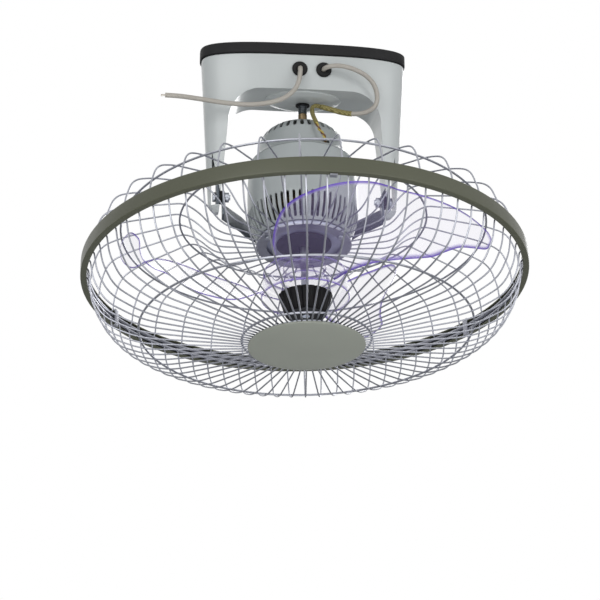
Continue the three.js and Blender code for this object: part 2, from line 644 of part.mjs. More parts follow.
function bearingBracket() {
  const disc = revolve([
    [SHAFT_HOLE, BRACKET_BOTTOM], [CUP_INNER, BRACKET_BOTTOM], [CUP_INNER, TOP_BEARING_BOTTOM + 1],
    [CUP_INNER + 3, TOP_BEARING_BOTTOM + 1], [CUP_INNER + 3, BRACKET_BOTTOM], [45, BRACKET_BOTTOM],
    [45, BRACKET_TOP], [SHAFT_HOLE, BRACKET_TOP], [SHAFT_HOLE, BRACKET_BOTTOM],
  ], 24);
  const lugs = [-1, 1].map((side) => {
    const lug = box(-1.5, 1.5, CROSS_Y - 4, CROSS_Y + 4, BRACKET_TOP - 0.5, CROSS_Z + 3);
    return lug.translate(side * LUG_HALF, 0, 0);
  });
  const hole = alongX(rod(CROSS_SHAFT_RADIUS + GAP, -LUG_HALF - 3, LUG_HALF + 3, 12));
  return cut(join(disc, ...lugs), hole.translate(0, CROSS_Y, CROSS_Z));
}

function toothedDisc(teeth, radius, depth, bottom, top) {
  const points = [];
  for (let i = 0; i < teeth; i += 1) {
    for (const [offset, reach] of [[-0.34, 0], [0, 1], [0.34, 0]]) {
      const angle = ((i + offset) * 2 * Math.PI) / teeth;
      const at = radius - depth * (1 - reach);
      points.push([at * Math.cos(angle), at * Math.sin(angle)]);
    }
  }
  return extrude(points, bottom, top);
}

function shaftWorm() {
  const bottom = CROSS_Z - 6.5;
  const top = Math.min(CROSS_Z + 3, SHAFT_TOP - 1);
  const turns = 2;
  const steps = 7;
  const pitch = (top - bottom - 2.6) / turns;
  const thread = [];
  for (let i = 0; i <= turns * steps; i += 1) {
    const angle = (2 * Math.PI * i) / steps;
    const radius = WORM_RADIUS - 0.7;
    thread.push([radius * Math.cos(angle), radius * Math.sin(angle), bottom + 1.3 + (pitch * i) / steps]);
  }
  const core = ring(SHAFT_RADIUS - 0.8 + GAP, WORM_RADIUS - 1, bottom, top, 20);
  return join(core, sweep(thread, 0.7, 3));
}

function motorShaft() {
  const neck = SHAFT_RADIUS - 0.8;
  const step = CROSS_Z - 6.5 - GAP;
  return revolve([
    [0, SHAFT_BOTTOM], [SHAFT_RADIUS, SHAFT_BOTTOM], [SHAFT_RADIUS, step], [neck, step],
    [neck, CROWN_DISC_BOTTOM - 1], [0, CROWN_DISC_BOTTOM - 1],
  ], 20);
}

function crossShaft() {
  const shaft = rod(CROSS_SHAFT_RADIUS, -LUG_HALF - 2.5, LUG_HALF + 2.5, 12);
  const wheel = toothedDisc(WORM_WHEEL_TEETH, WHEEL_RADIUS, 0.8, -3, 3);
  const pinion = toothedDisc(PINION_TEETH, PINION_RADIUS, 0.8, 17.5, 25);
  return alongX(join(shaft, wheel, pinion)).translate(0, CROSS_Y, CROSS_Z);
}

const CRANK_SHAFT_RADIUS = 5;
const ARM_BOTTOM = MOTOR_TOP + 2 * GAP;
const ARM_TOP = ARM_BOTTOM + CRANK_ARM_THICK;
const BALL_LEVER = PIVOT_DROP - BALL_DROP; // from the pivot up to the ball
const CRANK_THROW = BALL_LEVER * Math.sin(REST_TILT * RAD);
const BOSS_TOP = BALL_LEVER * Math.cos(REST_TILT * RAD) - BALL_RADIUS - GAP;
const CROWN_THICK = 3;

function crankGear() {
  const discTop = CROWN_DISC_BOTTOM + CROWN_THICK;
  const disc = revolve([
    [0, CROWN_DISC_BOTTOM], [CROWN_INNER, CROWN_DISC_BOTTOM], [CROWN_INNER, CROWN_BOTTOM + 1],
    [CROWN_RADIUS, CROWN_BOTTOM + 1], [CROWN_RADIUS, discTop], [0, discTop],
  ], CROWN_TEETH);
  const shaft = rod(CRANK_SHAFT_RADIUS, discTop - 1, ARM_BOTTOM + CRANK_ARM_THICK / 2, 20);
  const half = 0.8;
  const tooth = box(CROWN_INNER + 0.4, CROWN_RADIUS - 0.4, -half, half, CROWN_BOTTOM, CROWN_BOTTOM + 1.5);
  return geometryOf(solid(disc).add(solid(shaft)).add(aroundAxis(tooth, CROWN_TEETH, 0)));
}

function crankBush() {
  const bottom = MOTOR_TOP - 8;
  return ring(CRANK_SHAFT_RADIUS + GAP, CRANK_HOLE - GAP, bottom, MOTOR_TOP);
}

function crankArm() {
  const reach = 7.5;
  const outline = [...arc(0, 0, reach, 0, 180, 10), ...arc(0, -CRANK_THROW, reach, 180, 360, 10)];
  const socket = rod(CRANK_SHAFT_RADIUS + 2 * GAP, ARM_BOTTOM - 1, ARM_BOTTOM + CRANK_ARM_THICK / 2 + GAP, 20);
  const arm = cut(extrude(outline, ARM_BOTTOM, ARM_TOP), socket);
  const boss = revolve([[0, ARM_BOTTOM], [reach, ARM_BOTTOM], [reach, ARM_TOP - 1], [5.5, BOSS_TOP],
    [0, BOSS_TOP]], 20).translate(0, -CRANK_THROW, 0);
  return join(arm, boss);
}

// ---- guard ----
function wireCage(profile, count, first, wire, rings) {
  const points = profile.map(([radius, height]) => [radius, 0, height]);
  const spokes = aroundAxis(sweep(points, wire, 3), count, first);
  return geometryOf(rings.reduce((sum, geometry) => sum.add(solid(geometry)), spokes));
}

const RIM_WIRE_CIRCLE = BAND_RADIUS - BAND_WALL - RIM_WIRE_RADIUS - 0.7;
const BAND_MIDDLE = (BAND_TOP + BAND_BOTTOM) / 2;
const FRONT_RIM_Z = BAND_MIDDLE - RIM_WIRE_RADIUS - 0.8;
const REAR_RIM_Z = BAND_MIDDLE + RIM_WIRE_RADIUS + 0.8;
const WALL_CIRCLE = BAND_RADIUS - BAND_LIP - WIRE_RADIUS - 0.5;
const MOUNT_RING_OUTER = 50;
const MOUNT_RING_INNER = 39;
const WIRE_SEAT = BADGE_TOP + GAP + WIRE_RADIUS;

const FRONT_PROFILE = [
  [RIM_WIRE_CIRCLE, FRONT_RIM_Z], [WALL_CIRCLE, FRONT_RIM_Z - 3], [WALL_CIRCLE - 3, -116],
  [BAND_RADIUS - 24, -139.5], [BEND_RING[0], BEND_RING[1] - RING_TO_WIRE], [BADGE_RADIUS - 9, WIRE_SEAT],
];
const REAR_PROFILE = [
  [RIM_WIRE_CIRCLE, REAR_RIM_Z], [WALL_CIRCLE, REAR_RIM_Z + 3], [WALL_CIRCLE - 1, -72],
  [BAND_RADIUS - 17, -48], [REAR_RING_OUTER[0], REAR_RING_OUTER[1] + RING_TO_WIRE],
  [REAR_RING_INNER[0], REAR_RING_INNER[1] + RING_TO_WIRE], [REAR_RING_INNER[0] - 15.5, -32], [REAR_RING_INNER[0] - 35.5, -52],
  [MOUNT_RING_OUTER - 2, MOUNT_PLATE_TOP - MOUNT_PLATE_THICK / 2],
];

function frontGuard() {
  return wireCage(FRONT_PROFILE, FRONT_WIRES, FRONT_FIRST, WIRE_RADIUS, [
    torus(RIM_WIRE_CIRCLE, FRONT_RIM_Z, RIM_WIRE_RADIUS, FRONT_WIRES),
  ]);
}

function rearGuard() {
  const bottom = MOUNT_PLATE_TOP - MOUNT_PLATE_THICK;
  const plate = ring(MOUNT_RING_INNER, MOUNT_RING_OUTER, bottom, MOUNT_PLATE_TOP, 36);
  const holes = GUARD_SCREW_ANGLES.map((angle) => {
    const hole = rod(SCREW_RADIUS + GAP, bottom - 1, MOUNT_PLATE_TOP + 1, 10);
    return hole.translate(GUARD_SCREW_CIRCLE, 0, 0).rotateZ(angle * RAD);
  });
  return wireCage(REAR_PROFILE, REAR_WIRES, REAR_FIRST, WIRE_RADIUS, [
    cut(plate, ...holes),
    torus(RIM_WIRE_CIRCLE, REAR_RIM_Z, RIM_WIRE_RADIUS),
  ]);
}

function guardBand() {
  const lip = BAND_RADIUS - BAND_LIP;
  const wall = BAND_RADIUS - BAND_WALL;
  const skin = 1.5;
  return revolve([
    [BAND_RADIUS, BAND_BOTTOM], [BAND_RADIUS, BAND_TOP], [lip, BAND_TOP], [lip, BAND_TOP - skin],
    [wall, BAND_TOP - skin], [wall, BAND_BOTTOM + skin], [lip, BAND_BOTTOM + skin], [lip, BAND_BOTTOM],
    [BAND_RADIUS, BAND_BOTTOM],
  ], 60);
}

const CLIP_ANGLES = [30, 150, 270];

function guardClip(angle) {
  const lip = BAND_RADIUS - BAND_LIP;
  const inner = lip - GAP - 1.6;
  const [low, high] = [BAND_BOTTOM - GAP, BAND_TOP + GAP];
  const outline = [
    [inner, low - 1.4], [lip + 4, low - 1.4], [lip + 4, low], [lip - GAP, low], [lip - GAP, high],
    [lip + 4, high], [lip + 4, high + 1.4], [inner, high + 1.4],
  ];
  const clip = extrude(outline, -3.5, 3.5).rotateX(Math.PI / 2);
  return clip.rotateZ(angle * RAD);
}

function badge() {
  const rim = BADGE_TOP - BADGE_RIM_THICK;
  const pad = CLAMP_BOTTOM - GAP;
  const dome = arc(0, 0, 1, 0, 90, 3).map(([x, y]) => [BADGE_RADIUS * x, rim - BADGE_DOME * y]);
  return revolve([
    [0, pad - 2.6], [2.5, pad - 2.6], [2.5, pad], [PAD_RADIUS, pad], [PAD_RADIUS, BADGE_TOP],
    [BADGE_RADIUS, BADGE_TOP], ...dome,
  ], 32);
}

const PAD_RADIUS = 44;
const CLAMP_BOTTOM = WIRE_SEAT + WIRE_RADIUS + GAP;
const CLAMP_THICK = 1.8;
const CLAMP_RADIUS = 52;

function badgeClamp() {
  return ring(2.5, CLAMP_RADIUS, CLAMP_BOTTOM, CLAMP_BOTTOM + CLAMP_THICK, 24);
}

function badgeScrew() {
  const seat = CLAMP_BOTTOM + CLAMP_THICK + GAP;
  return join(rod(2.2, CLAMP_BOTTOM - 2, seat + 0.5, 12), rod(4.5, seat, seat + 2.2, 16));
}

// ---- blades ----
const BLADE_FIRST = -147; // leading edge of the first blade, degrees
const BLADE_SPAN = 80;
const BLADE_CAMBER = 7;

// a blade from its root to its tip: radius, angles of its two edges from the blade's own zero, and
// their heights
const BLADE_STATIONS = [
  [HUB_RADIUS - 2, -28, -108, -111, -100], [BLADE_RADIUS - 133, -36, -97, -117, -84],
  [BLADE_RADIUS - 103, -31, -81, -117, -63], [BLADE_RADIUS - 73, -21, -58, -116.5, -55],
  [BLADE_RADIUS - 53, -15, -46, -115.5, -58], [BLADE_RADIUS - 38, -14, -41, -113.5, -67],
  [BLADE_RADIUS - 25, -12, -39, -110, -77], [BLADE_RADIUS - 15, -8, -31, -108, -82],
  [BLADE_RADIUS - 7, -4, -19, -105, -86], [BLADE_RADIUS - 2, -4, -9.5, -100, -91],
  [BLADE_RADIUS, -5, -7, -96.5, -94],
];

function blade(first) {
  const rows = BLADE_STATIONS.length - 1;
  const columns = 5;
  const vertices = [];
  for (const side of [-1, 1]) {
    for (const [radius, lead, trail, leadHeight, trailHeight] of BLADE_STATIONS) {
      for (let column = 0; column <= columns; column += 1) {
        const across = column / columns;
        const angle = (first + lead + (trail - lead) * across) * RAD;
        const camber = BLADE_CAMBER * ((lead - trail) / BLADE_SPAN) * Math.sin(Math.PI * across);
        const height = leadHeight + (trailHeight - leadHeight) * across + camber;
        vertices.push(radius * Math.cos(angle), radius * Math.sin(angle), height + (side * BLADE_THICK) / 2);
      }
    }
  }
  const width = columns + 1;
  const layer = (rows + 1) * width;
  const index = [];
  const quad = (a, b, c, d) => index.push(a, b, c, a, c, d);
  for (let row = 0; row < rows; row += 1) {
    for (let column = 0; column < columns; column += 1) {
      const a = row * width + column;
      quad(a, a + 1, a + width + 1, a + width);
      quad(a + layer, a + layer + width, a + layer + width + 1, a + layer + 1);
    }
  }
  const border = [];
  for (let column = 0; column < columns; column += 1) border.push(column);
  for (let row = 0; row < rows; row += 1) border.push(row * width + columns);
  for (let column = columns; column > 0; column -= 1) border.push(rows * width + column);
  for (let row = rows; row > 0; row -= 1) border.push(row * width);
  border.forEach((a, i) => {
    const b = border[(i + 1) % border.length];
    quad(b, a, a + layer, b + layer);
  });
  const geometry = new THREE.BufferGeometry();
  geometry.setAttribute('position', new THREE.Float32BufferAttribute(vertices, 3));
  geometry.setIndex(index);
  return geometry;
}

function fanBlades() {
  const web = -99;
  const bore = SHAFT_RADIUS + GAP;
  const hub = revolve([
    [bore, HUB_FRONT + 3], [11, HUB_FRONT + 3], [11, web], [HUB_RADIUS - HUB_WALL, web],
    [HUB_RADIUS - HUB_WALL, HUB_FRONT], [HUB_RADIUS, HUB_FRONT], [HUB_RADIUS - 3, HUB_BACK],
    [HUB_RADIUS - 3 - HUB_WALL, HUB_BACK], [HUB_RADIUS - HUB_WALL - 2, web + 3], [BOSS_RADIUS, web + 3],
    [BOSS_RADIUS - 0.8, BOSS_BACK], [BOSS_RADIUS - 3, BOSS_BACK], [BOSS_RADIUS - 2.2, web + 3],
    [10, web + 3], [10, BOSS_BACK + 5], [bore, BOSS_BACK + 5], [bore, HUB_FRONT + 3],
  ], 28);
  const blades = [];
  for (let i = 0; i < BLADE_COUNT; i += 1) blades.push(blade(BLADE_FIRST + (360 * i) / BLADE_COUNT));
  return join(hub, ...blades);
}

function bladeNut() {
  const top = HUB_FRONT + 3 - GAP;
  const bottom = top - NUT_HEIGHT;
  const body = revolve([
    [0, bottom], [NUT_NOSE_RADIUS, bottom], [NUT_RADIUS, top], [SHAFT_RADIUS + GAP, top],
    [SHAFT_RADIUS + GAP, SHAFT_BOTTOM - GAP], [0, SHAFT_BOTTOM - GAP],
  ], NUT_RIBS);
  const groove = slotCutter(NUT_RIBS, 2, NUT_NOSE_RADIUS - 2, NUT_RADIUS + 3, bottom - 1, top + 1);
  const keep = solid(revolve([
    [0, bottom - 2], [NUT_NOSE_RADIUS - 1, bottom - 2], [NUT_NOSE_RADIUS - 1, bottom],
    [NUT_RADIUS - 1, top], [NUT_RADIUS - 1, top + 2], [0, top + 2],
  ], NUT_RIBS));
  return geometryOf(solid(body).subtract(groove.subtract(keep)));
}

// ---- assembly ----
const fan = new THREE.Group();

function add(group, name, geometry, finish) {
  group.add(part(name, geometry, finish));
}

add(fan, 'ceiling_plate', ceilingPlate(), 'steel');
add(fan, 'trim_rim', trimRim(), 'darkTrim');
add(fan, 'canopy_shell', canopyShell(), 'greyPaint');
add(fan, 'yoke_frame', yokeFrame(), 'darkSteel');
add(fan, 'power_gland', gland(POWER_GLAND_X), 'black');
add(fan, 'motor_gland', gland(MOTOR_GLAND_X), 'black');
add(fan, 'power_cord', cord(POWER_CORD, CORD_DIAMETER, 18), 'cordGrey');
add(fan, 'motor_cord', cord(MOTOR_CORD, CORD_DIAMETER, 20), 'cordGrey');
add(fan, 'lead_sleeve', cord(LEAD_SLEEVE, 4.6, 8), 'sleeve');
add(fan, 'link_washer', ring(ROD_RADIUS + GAP, 7.6, DISH_BOTTOM - 2, DISH_BOTTOM - GAP), 'black');
add(fan, 'link_nut', linkNut(), 'steel');
add(fan, 'link_rod', linkRod(), 'darkSteel');
add(fan, 'link_ball', linkBall(), 'brass');
const CAN_RADIUS = 11;
const CAN_CENTRE = [48, -17, -30];
const canBody = alongX(rod(CAN_RADIUS, -20, 20, 20)).translate(...CAN_CENTRE);
add(fan, 'run_capacitor', canBody, 'nylon');
add(fan, 'terminal_block', box(-62, -34, -26, -14, DECK_TOP + GAP, DECK_TOP + 14), 'nylon');
add(fan, 'receiver_board', box(-70, -20, 13.5, 15.2, DECK_TOP + 4, -14), 'board');
for (const [name, side] of [['left', -1], ['right', 1]]) {
  add(fan, `pivot_bolt_${name}`, pivotBolt(side), 'steel');
  add(fan, `pivot_spacer_${name}`, pivotSpacer(side), 'black');
  add(fan, `pivot_nut_${name}`, pivotNut(side), 'steel');
}

const head = new THREE.Group();
head.position.set(0, 0, -PIVOT_DROP);
head.rotation.x = -REST_TILT * RAD;
fan.add(head);

add(head, 'gimbal_strap', gimbalStrap(), 'darkSteel');
add(head, 'rear_pin', rearPin(), 'steel');
add(head, 'motor_top_cover', topCover(), 'motorPaint');
add(head, 'motor_bottom_cover', bottomCover(), 'motorPaint');
add(head, 'motor_end_plate', endPlate(), 'steel');
add(head, 'shaft_cap', shaftCap(), 'darkTrim');
add(head, 'stator_core', statorCore(), 'steel');
add(head, 'winding_upper', winding(STATOR_TOP + GAP, STATOR_TOP + 11), 'copper');
add(head, 'winding_lower', winding(STATOR_BOTTOM - 11, STATOR_BOTTOM - GAP), 'copper');
add(head, 'bearing_upper', bearing(TOP_BEARING_BOTTOM), 'steel');
add(head, 'bearing_lower', bearing(END_PLATE_TOP - 1 + GAP), 'steel');
add(head, 'bearing_bracket', bearingBracket(), 'steel');
add(head, 'rotor_core', rotorCore(), 'steel');
add(head, 'motor_shaft', motorShaft(), 'steel');
add(head, 'shaft_worm', shaftWorm(), 'steel');
add(head, 'cross_shaft', crossShaft(), 'nylon');
add(head, 'crank_gear', crankGear(), 'nylon');
add(head, 'crank_bush', crankBush(), 'brass');
add(head, 'crank_arm', crankArm(), 'darkSteel');
add(head, 'fan_blades', fanBlades(), 'violet');
add(head, 'blade_nut', bladeNut(), 'black');
add(head, 'rear_guard', rearGuard(), 'chrome');
add(head, 'front_guard', frontGuard(), 'chrome');
add(head, 'front_bend_ring', torus(...BEND_RING, RING_RADIUS), 'chrome');
add(head, 'front_inner_ring', torus(...INNER_RING, RING_RADIUS, 36), 'chrome');
add(head, 'rear_ring_outer', torus(...REAR_RING_OUTER, RING_RADIUS), 'chrome');
add(head, 'rear_ring_inner', torus(...REAR_RING_INNER, RING_RADIUS, 44), 'chrome');
add(head, 'guard_band', guardBand(), 'olive');
add(head, 'badge', badge(), 'badgeGrey');
add(head, 'badge_clamp', badgeClamp(), 'steel');
add(head, 'badge_screw', badgeScrew(), 'steel');
GUARD_SCREW_ANGLES.forEach((angle, i) => add(head, `guard_screw_${i + 1}`, guardScrew(angle), 'steel'));
CLIP_ANGLES.forEach((angle, i) => add(head, `guard_clip_${i + 1}`, guardClip(angle), 'chrome'));
add(fan, 'lead_wires', cord(LEAD_WIRES, 3.6, 8), 'sleeve');

export default fan;
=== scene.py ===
"""Looks of an orbital ceiling fan: smooth covers, wire guards, clear blades, cords and finishes."""

import math

import bmesh
import bpy
from bpy.props import FloatProperty, FloatVectorProperty, PointerProperty
from mathutils import Matrix, Vector
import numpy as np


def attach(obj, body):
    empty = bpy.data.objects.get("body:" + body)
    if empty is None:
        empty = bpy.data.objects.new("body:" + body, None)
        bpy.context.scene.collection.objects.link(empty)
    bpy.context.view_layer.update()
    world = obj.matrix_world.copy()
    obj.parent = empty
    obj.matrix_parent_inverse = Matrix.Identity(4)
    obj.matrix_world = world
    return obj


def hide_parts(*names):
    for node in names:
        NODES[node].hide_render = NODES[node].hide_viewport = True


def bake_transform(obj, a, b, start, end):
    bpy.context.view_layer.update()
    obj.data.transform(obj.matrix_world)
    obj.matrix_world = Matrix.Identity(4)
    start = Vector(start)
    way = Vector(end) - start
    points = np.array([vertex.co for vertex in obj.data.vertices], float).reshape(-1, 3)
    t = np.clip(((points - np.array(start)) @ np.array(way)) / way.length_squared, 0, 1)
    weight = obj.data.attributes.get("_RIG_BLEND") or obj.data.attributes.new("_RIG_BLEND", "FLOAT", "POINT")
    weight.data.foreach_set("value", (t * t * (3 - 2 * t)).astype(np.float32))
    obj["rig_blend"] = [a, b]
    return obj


bl_info = {
    "name": "Orbital Ceiling Fan",
    "version": (1, 0, 0),
    "blender": (4, 5, 0),
    "location": "View3D > Sidebar > Fan",
    "description": "Builds the visible pieces of an orbital ceiling fan around its frame",
    "category": "Object",
}

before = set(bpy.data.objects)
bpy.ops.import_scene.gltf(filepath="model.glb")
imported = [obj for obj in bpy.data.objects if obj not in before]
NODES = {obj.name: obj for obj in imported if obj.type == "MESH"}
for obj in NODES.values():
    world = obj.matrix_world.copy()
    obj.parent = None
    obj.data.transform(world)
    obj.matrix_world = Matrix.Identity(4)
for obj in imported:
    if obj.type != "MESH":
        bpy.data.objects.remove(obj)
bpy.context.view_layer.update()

MM = 0.001
TO_METRES = Matrix.Scale(MM, 4)
REST_TILT = math.radians(12.07)
PIVOT_DROP = 163.0
UPRIGHT = Matrix.Identity(4)
PIVOT = Matrix.Translation((0, 0, -PIVOT_DROP))
HEAD = PIVOT @ Matrix.Rotation(-REST_TILT, 4, "X")
FRONTWARD = Matrix.Rotation(math.pi / 2, 4, "X")
REARWARD = Matrix.Rotation(-math.pi / 2, 4, "X")

# canopy, in millimetres
RIM_HALF = (111.0, 36.0)
RIM_HEIGHT = 12.0
SHELL_HALF = (109.5, 34.5)
SHELL_TOP = -12.3
DECK_BOTTOM = -51.3
LEG_BOTTOM = -181.0
LEG_HALF = (99.8, 17.0)
SHELL_WALL = 2.4
ARCH_HALF_FOOT = 89.5
ARCH_HALF_TOP = 81.5
ARCH_CORNER = 33.0
POCKET_HALF = 13.5
POCKET_INNER = 88.7
POCKET_MOUTH = -150.0
GLAND_DROP = 29.0
GLAND_HOLE = 6.3
POWER_GLAND_X = -7.0
MOTOR_GLAND_X = 18.5
OVAL_POWER = 3.0
FOOT_ROUND = 9.0

# head, heights along its own axis from the pivot
MOTOR_TOP = 80.0
MOTOR_PARTING = 38.0
MOTOR_RADIUS = 58.5
COVER_FOOT = 56.8
DOME_RADIUS = 48.0
CRANK_HOLE = 9.0
TOP_SLOTS = 36
BOTTOM_SLOTS = 56
END_PLATE_RADIUS = 47.5
MOTOR_BOTTOM = -50.0
GAP = 0.3

# guard
BAND_RADIUS = 230.0
BAND_TOP = -83.2
BAND_BOTTOM = -99.2
BAND_LIP = 6.5
BAND_WALL = 1.7
FRONT_WIRES = 72
REAR_WIRES = 36
FRONT_FIRST = 3.6  # angle of the first wire of each guard, degrees
REAR_FIRST = 2.3
RIM_CIRCLE = 225.6
FRONT_RIM = -94.0  # heights of the two rim wires
REAR_RIM = -88.4
RIM_WIRE = 2.3
RING_WIRE = 1.15
FRONT_PATH = [
    (RIM_CIRCLE, FRONT_RIM), (221.9, -97.0), (218.9, -116.0), (206.0, -139.5), (170.0, -155.9),
    (50.8, -166.9),
]
REAR_PATH = [
    (RIM_CIRCLE, REAR_RIM), (221.9, -85.4), (220.9, -72.0), (213.0, -48.0), (190.5, -38.3),
    (129.5, -23.9), (114.0, -32.0), (94.0, -52.0), (48.0, -55.5),
]
GUARD_RINGS = (
    ("front_bend_ring", 170, -153), ("front_inner_ring", 66, -162.5),
    ("rear_ring_outer", 190.5, -41.2), ("rear_ring_inner", 129.5, -26.8),
)
BADGE_RADIUS = 59.8
BADGE_TOP = -168.3

# blades
BLADE_FIRST = -147.0
BLADE_COUNT = 3
BLADE_SPAN = 80.0
BLADE_CAMBER = 7.0
BLADE_THICK = 2.2
BLADE_TIP = 203.0
EDGE_SHADE_WIDTH = 4.0  # how far the painted edge shade, a deeper violet, reaches into the blade
HUB_RADIUS = 46.0
HUB_FRONT = -116.0
HUB_BACK = -86.0
HUB_WEB = -99.0
HUB_WALL = 2.2
BOSS_RADIUS = 23.5
BOSS_BACK = -80.0
SHAFT_HOLE = 4.3
BLADE_STATIONS = [  # radius, angles of the two edges, heights of the two edges
    (44, -28, -108, -111, -100), (70, -36, -97, -117, -84), (100, -31, -81, -117, -63),
    (130, -21, -58, -116.5, -55), (150, -15, -46, -115.5, -58), (165, -14, -41, -113.5, -67),
    (178, -12, -39, -110, -77), (188, -8, -31, -108, -82), (196, -4, -19, -105, -86),
    (201, -4, -9.5, -100, -91), (203, -5, -7, -96.5, -94),
]

POWER_CORD = [
    (-7, -30, -29), (-7, -34.5, -29), (-7, -39, -29.2), (-7.4, -43.6, -33.5), (-9.3, -46.5, -46.5),
    (-13.5, -47, -56.5), (-24, -46, -66), (-39.5, -45, -71.8), (-60, -44, -74.5), (-86, -43, -73.5),
    (-112, -42, -70), (-133, -42, -67.8), (-148.5, -42, -67.3),
]
MOTOR_CORD = [
    (18.5, -30, -29), (18.5, -34.5, -29), (18.7, -39, -29), (23, -44.2, -28.6), (32.7, -47, -28.4),
    (43.6, -48, -30.4), (55.2, -48, -34.8), (65, -46, -40.6), (71.7, -44, -49.3), (74.6, -40, -59.9),
    (72.6, -36, -67.8), (65, -31, -72.5), (52.6, -25, -73.2), (39.9, -20, -70.3), (28.7, -15.6, -65.7),
    (18.6, -12.4, -62),
]
LEAD_SLEEVE = [
    (18, -12.2, -61.8), (13, -10.8, -60.4), (9.6, -12, -62.6), (8.2, -17, -69), (8.4, -27, -78.5),
    (10.2, -35.5, -88),
]
LEAD_WIRES = [
    (10.4, -36.3, -89), (13, -39.5, -97), (17, -42.5, -104), (19.6, -40, -108.5), (20, -34, -109.2),
    (20, -31, -109.6),
]


# ---- shapes ----
def arc(centre_x, centre_y, radius, start, end, steps):
    points = []
    for i in range(steps + 1):
        angle = math.radians(start + (end - start) * i / steps)
        points.append((centre_x + radius * math.cos(angle), centre_y + radius * math.sin(angle)))
    return points


def eased(points, radius, steps=4, closed=False):
    """The same outline with each corner rounded off over at most radius."""
    result = []
    last = len(points) - 1
    for i, point in enumerate(points):
        corner = Vector(point)
        if not closed and i in (0, last):
            result.append(tuple(corner))
            continue
        before = Vector(points[i - 1]) - corner
        after = Vector(points[(i + 1) % len(points)]) - corner
        reach = min(radius, 0.45 * before.length, 0.45 * after.length)
        start = corner + before.normalized() * reach
        end = corner + after.normalized() * reach
        for k in range(steps + 1):
            t = k / steps
            result.append(tuple(start * (1 - t) ** 2 + corner * 2 * t * (1 - t) + end * t * t))
    return result


def split_long(outline, most):
    """The same closed outline with no step longer than most."""
    result = []
    for i, point in enumerate(outline):
        start, end = Vector(point), Vector(outline[(i + 1) % len(outline)])
        count = max(1, math.ceil((end - start).length / most))
        result += [tuple(start.lerp(end, k / count)) for k in range(count)]
    return result


def turned(outline, sides):
    """A closed outline of (radius, height) pairs turned about Z."""
    verts = []
    for i in range(sides):
        angle = 2 * math.pi * i / sides
        verts += [(r * math.cos(angle), r * math.sin(angle), z) for r, z in outline]
    count = len(outline)
    faces = []
    for i in range(sides):
        for k in range(count):
            a, b = i * count + k, i * count + (k + 1) % count
            c, d = ((i + 1) % sides) * count + (k + 1) % count, ((i + 1) % sides) * count + k
            faces.append((a, b, c, d))
    return verts, faces


def extruded(outline, low, high):
    """A flat outline pushed along Z."""
    count = len(outline)
    verts = [(x, y, low) for x, y in outline] + [(x, y, high) for x, y in outline]
    faces = [tuple(range(count))[::-1], tuple(range(count, 2 * count))]
    faces += [(i, (i + 1) % count, (i + 1) % count + count, i + count) for i in range(count)]
    return verts, faces


def lofted(levels):
    """Outlines of equal count, each with its height, skinned and capped."""
    count = len(levels[0][0])
    verts = [(x, y, z) for outline, z in levels for x, y in outline]
    faces = [tuple(range(count))[::-1]]
    for row in range(len(levels) - 1):
        for i in range(count):
            a, b = row * count + i, row * count + (i + 1) % count
            faces.append((a, b, b + count, a + count))
    faces.append(tuple(range((len(levels) - 1) * count, len(levels) * count)))
    return verts, faces


def plug(radius, low, high, sides=40):
    return turned([(0, low), (radius, low), (radius, high), (0, high)], sides)


def rounded(outline, radius, steps, sides):
    """A closed outline with eased corners, turned about Z."""
    return turned(eased(outline, radius, steps, closed=True), sides)


def collar(inner, outer, low, high, radius, sides=48, steps=3):
    return rounded([(inner, low), (outer, low), (outer, high), (inner, high)], radius, steps, sides)


def block(x0, x1, y0, y1, z0, z1):
    return extruded([(x0, y0), (x1, y0), (x1, y1), (x0, y1)], z0, z1)


def tube(path, radius, sides=8, close=False):
    """A round wire along a path."""
    points = [Vector(p) for p in path]
    count = len(points)
    verts, faces = [], []
    normal = None
    for i, point in enumerate(points):
        ahead = points[(i + 1) % count] if close else points[min(i + 1, count - 1)]
        behind = points[i - 1] if close else points[max(i - 1, 0)]
        along = (ahead - behind).normalized()
        if normal is None:
            normal = along.orthogonal().normalized()
        normal = (normal - along * normal.dot(along)).normalized()
        other = along.cross(normal)
        for k in range(sides):
            angle = 2 * math.pi * k / sides
            offset = normal * math.cos(angle) + other * math.sin(angle)
            verts.append(tuple(point + offset * radius))
    runs = count if close else count - 1
    for i in range(runs):
        for k in range(sides):
            a, b = i * sides + k, i * sides + (k + 1) % sides
            j = (i + 1) % count
            faces.append((a, b, j * sides + (k + 1) % sides, j * sides + k))
    if not close:
        faces.append(tuple(range(sides))[::-1])
        faces.append(tuple(range((count - 1) * sides, count * sides)))
    return verts, faces


def hoop(radius, height, wire):
    path = [(x, y, height) for x, y in arc(0, 0, radius, 0, 360, 180)[:-1]]
    return tube(path, wire, 10, close=True)


def shifted(shape, matrix):
    verts, faces = shape
    return [tuple(matrix @ Vector(v)) for v in verts], faces


def together(shapes):
    verts, faces = [], []
    for more_verts, more_faces in shapes:
        start = len(verts)
        verts += more_verts
        faces += [tuple(i + start for i in face) for face in more_faces]
    return verts, faces


def repeated(shape, count, offset):
    steps = [Matrix.Rotation(math.radians(offset + 360 * i / count), 4, "Z") for i in range(count)]
    return together([shifted(shape, step) for step in steps])


def between(p1, p2, slope1, slope2, t):
    """A place on the smooth line between two points with the given slopes."""
    start = (2 * t**3 - 3 * t**2 + 1) * p1 + (t**3 - 2 * t**2 + t) * slope1
    return start + (3 * t**2 - 2 * t**3) * p2 + (t**3 - t**2) * slope2


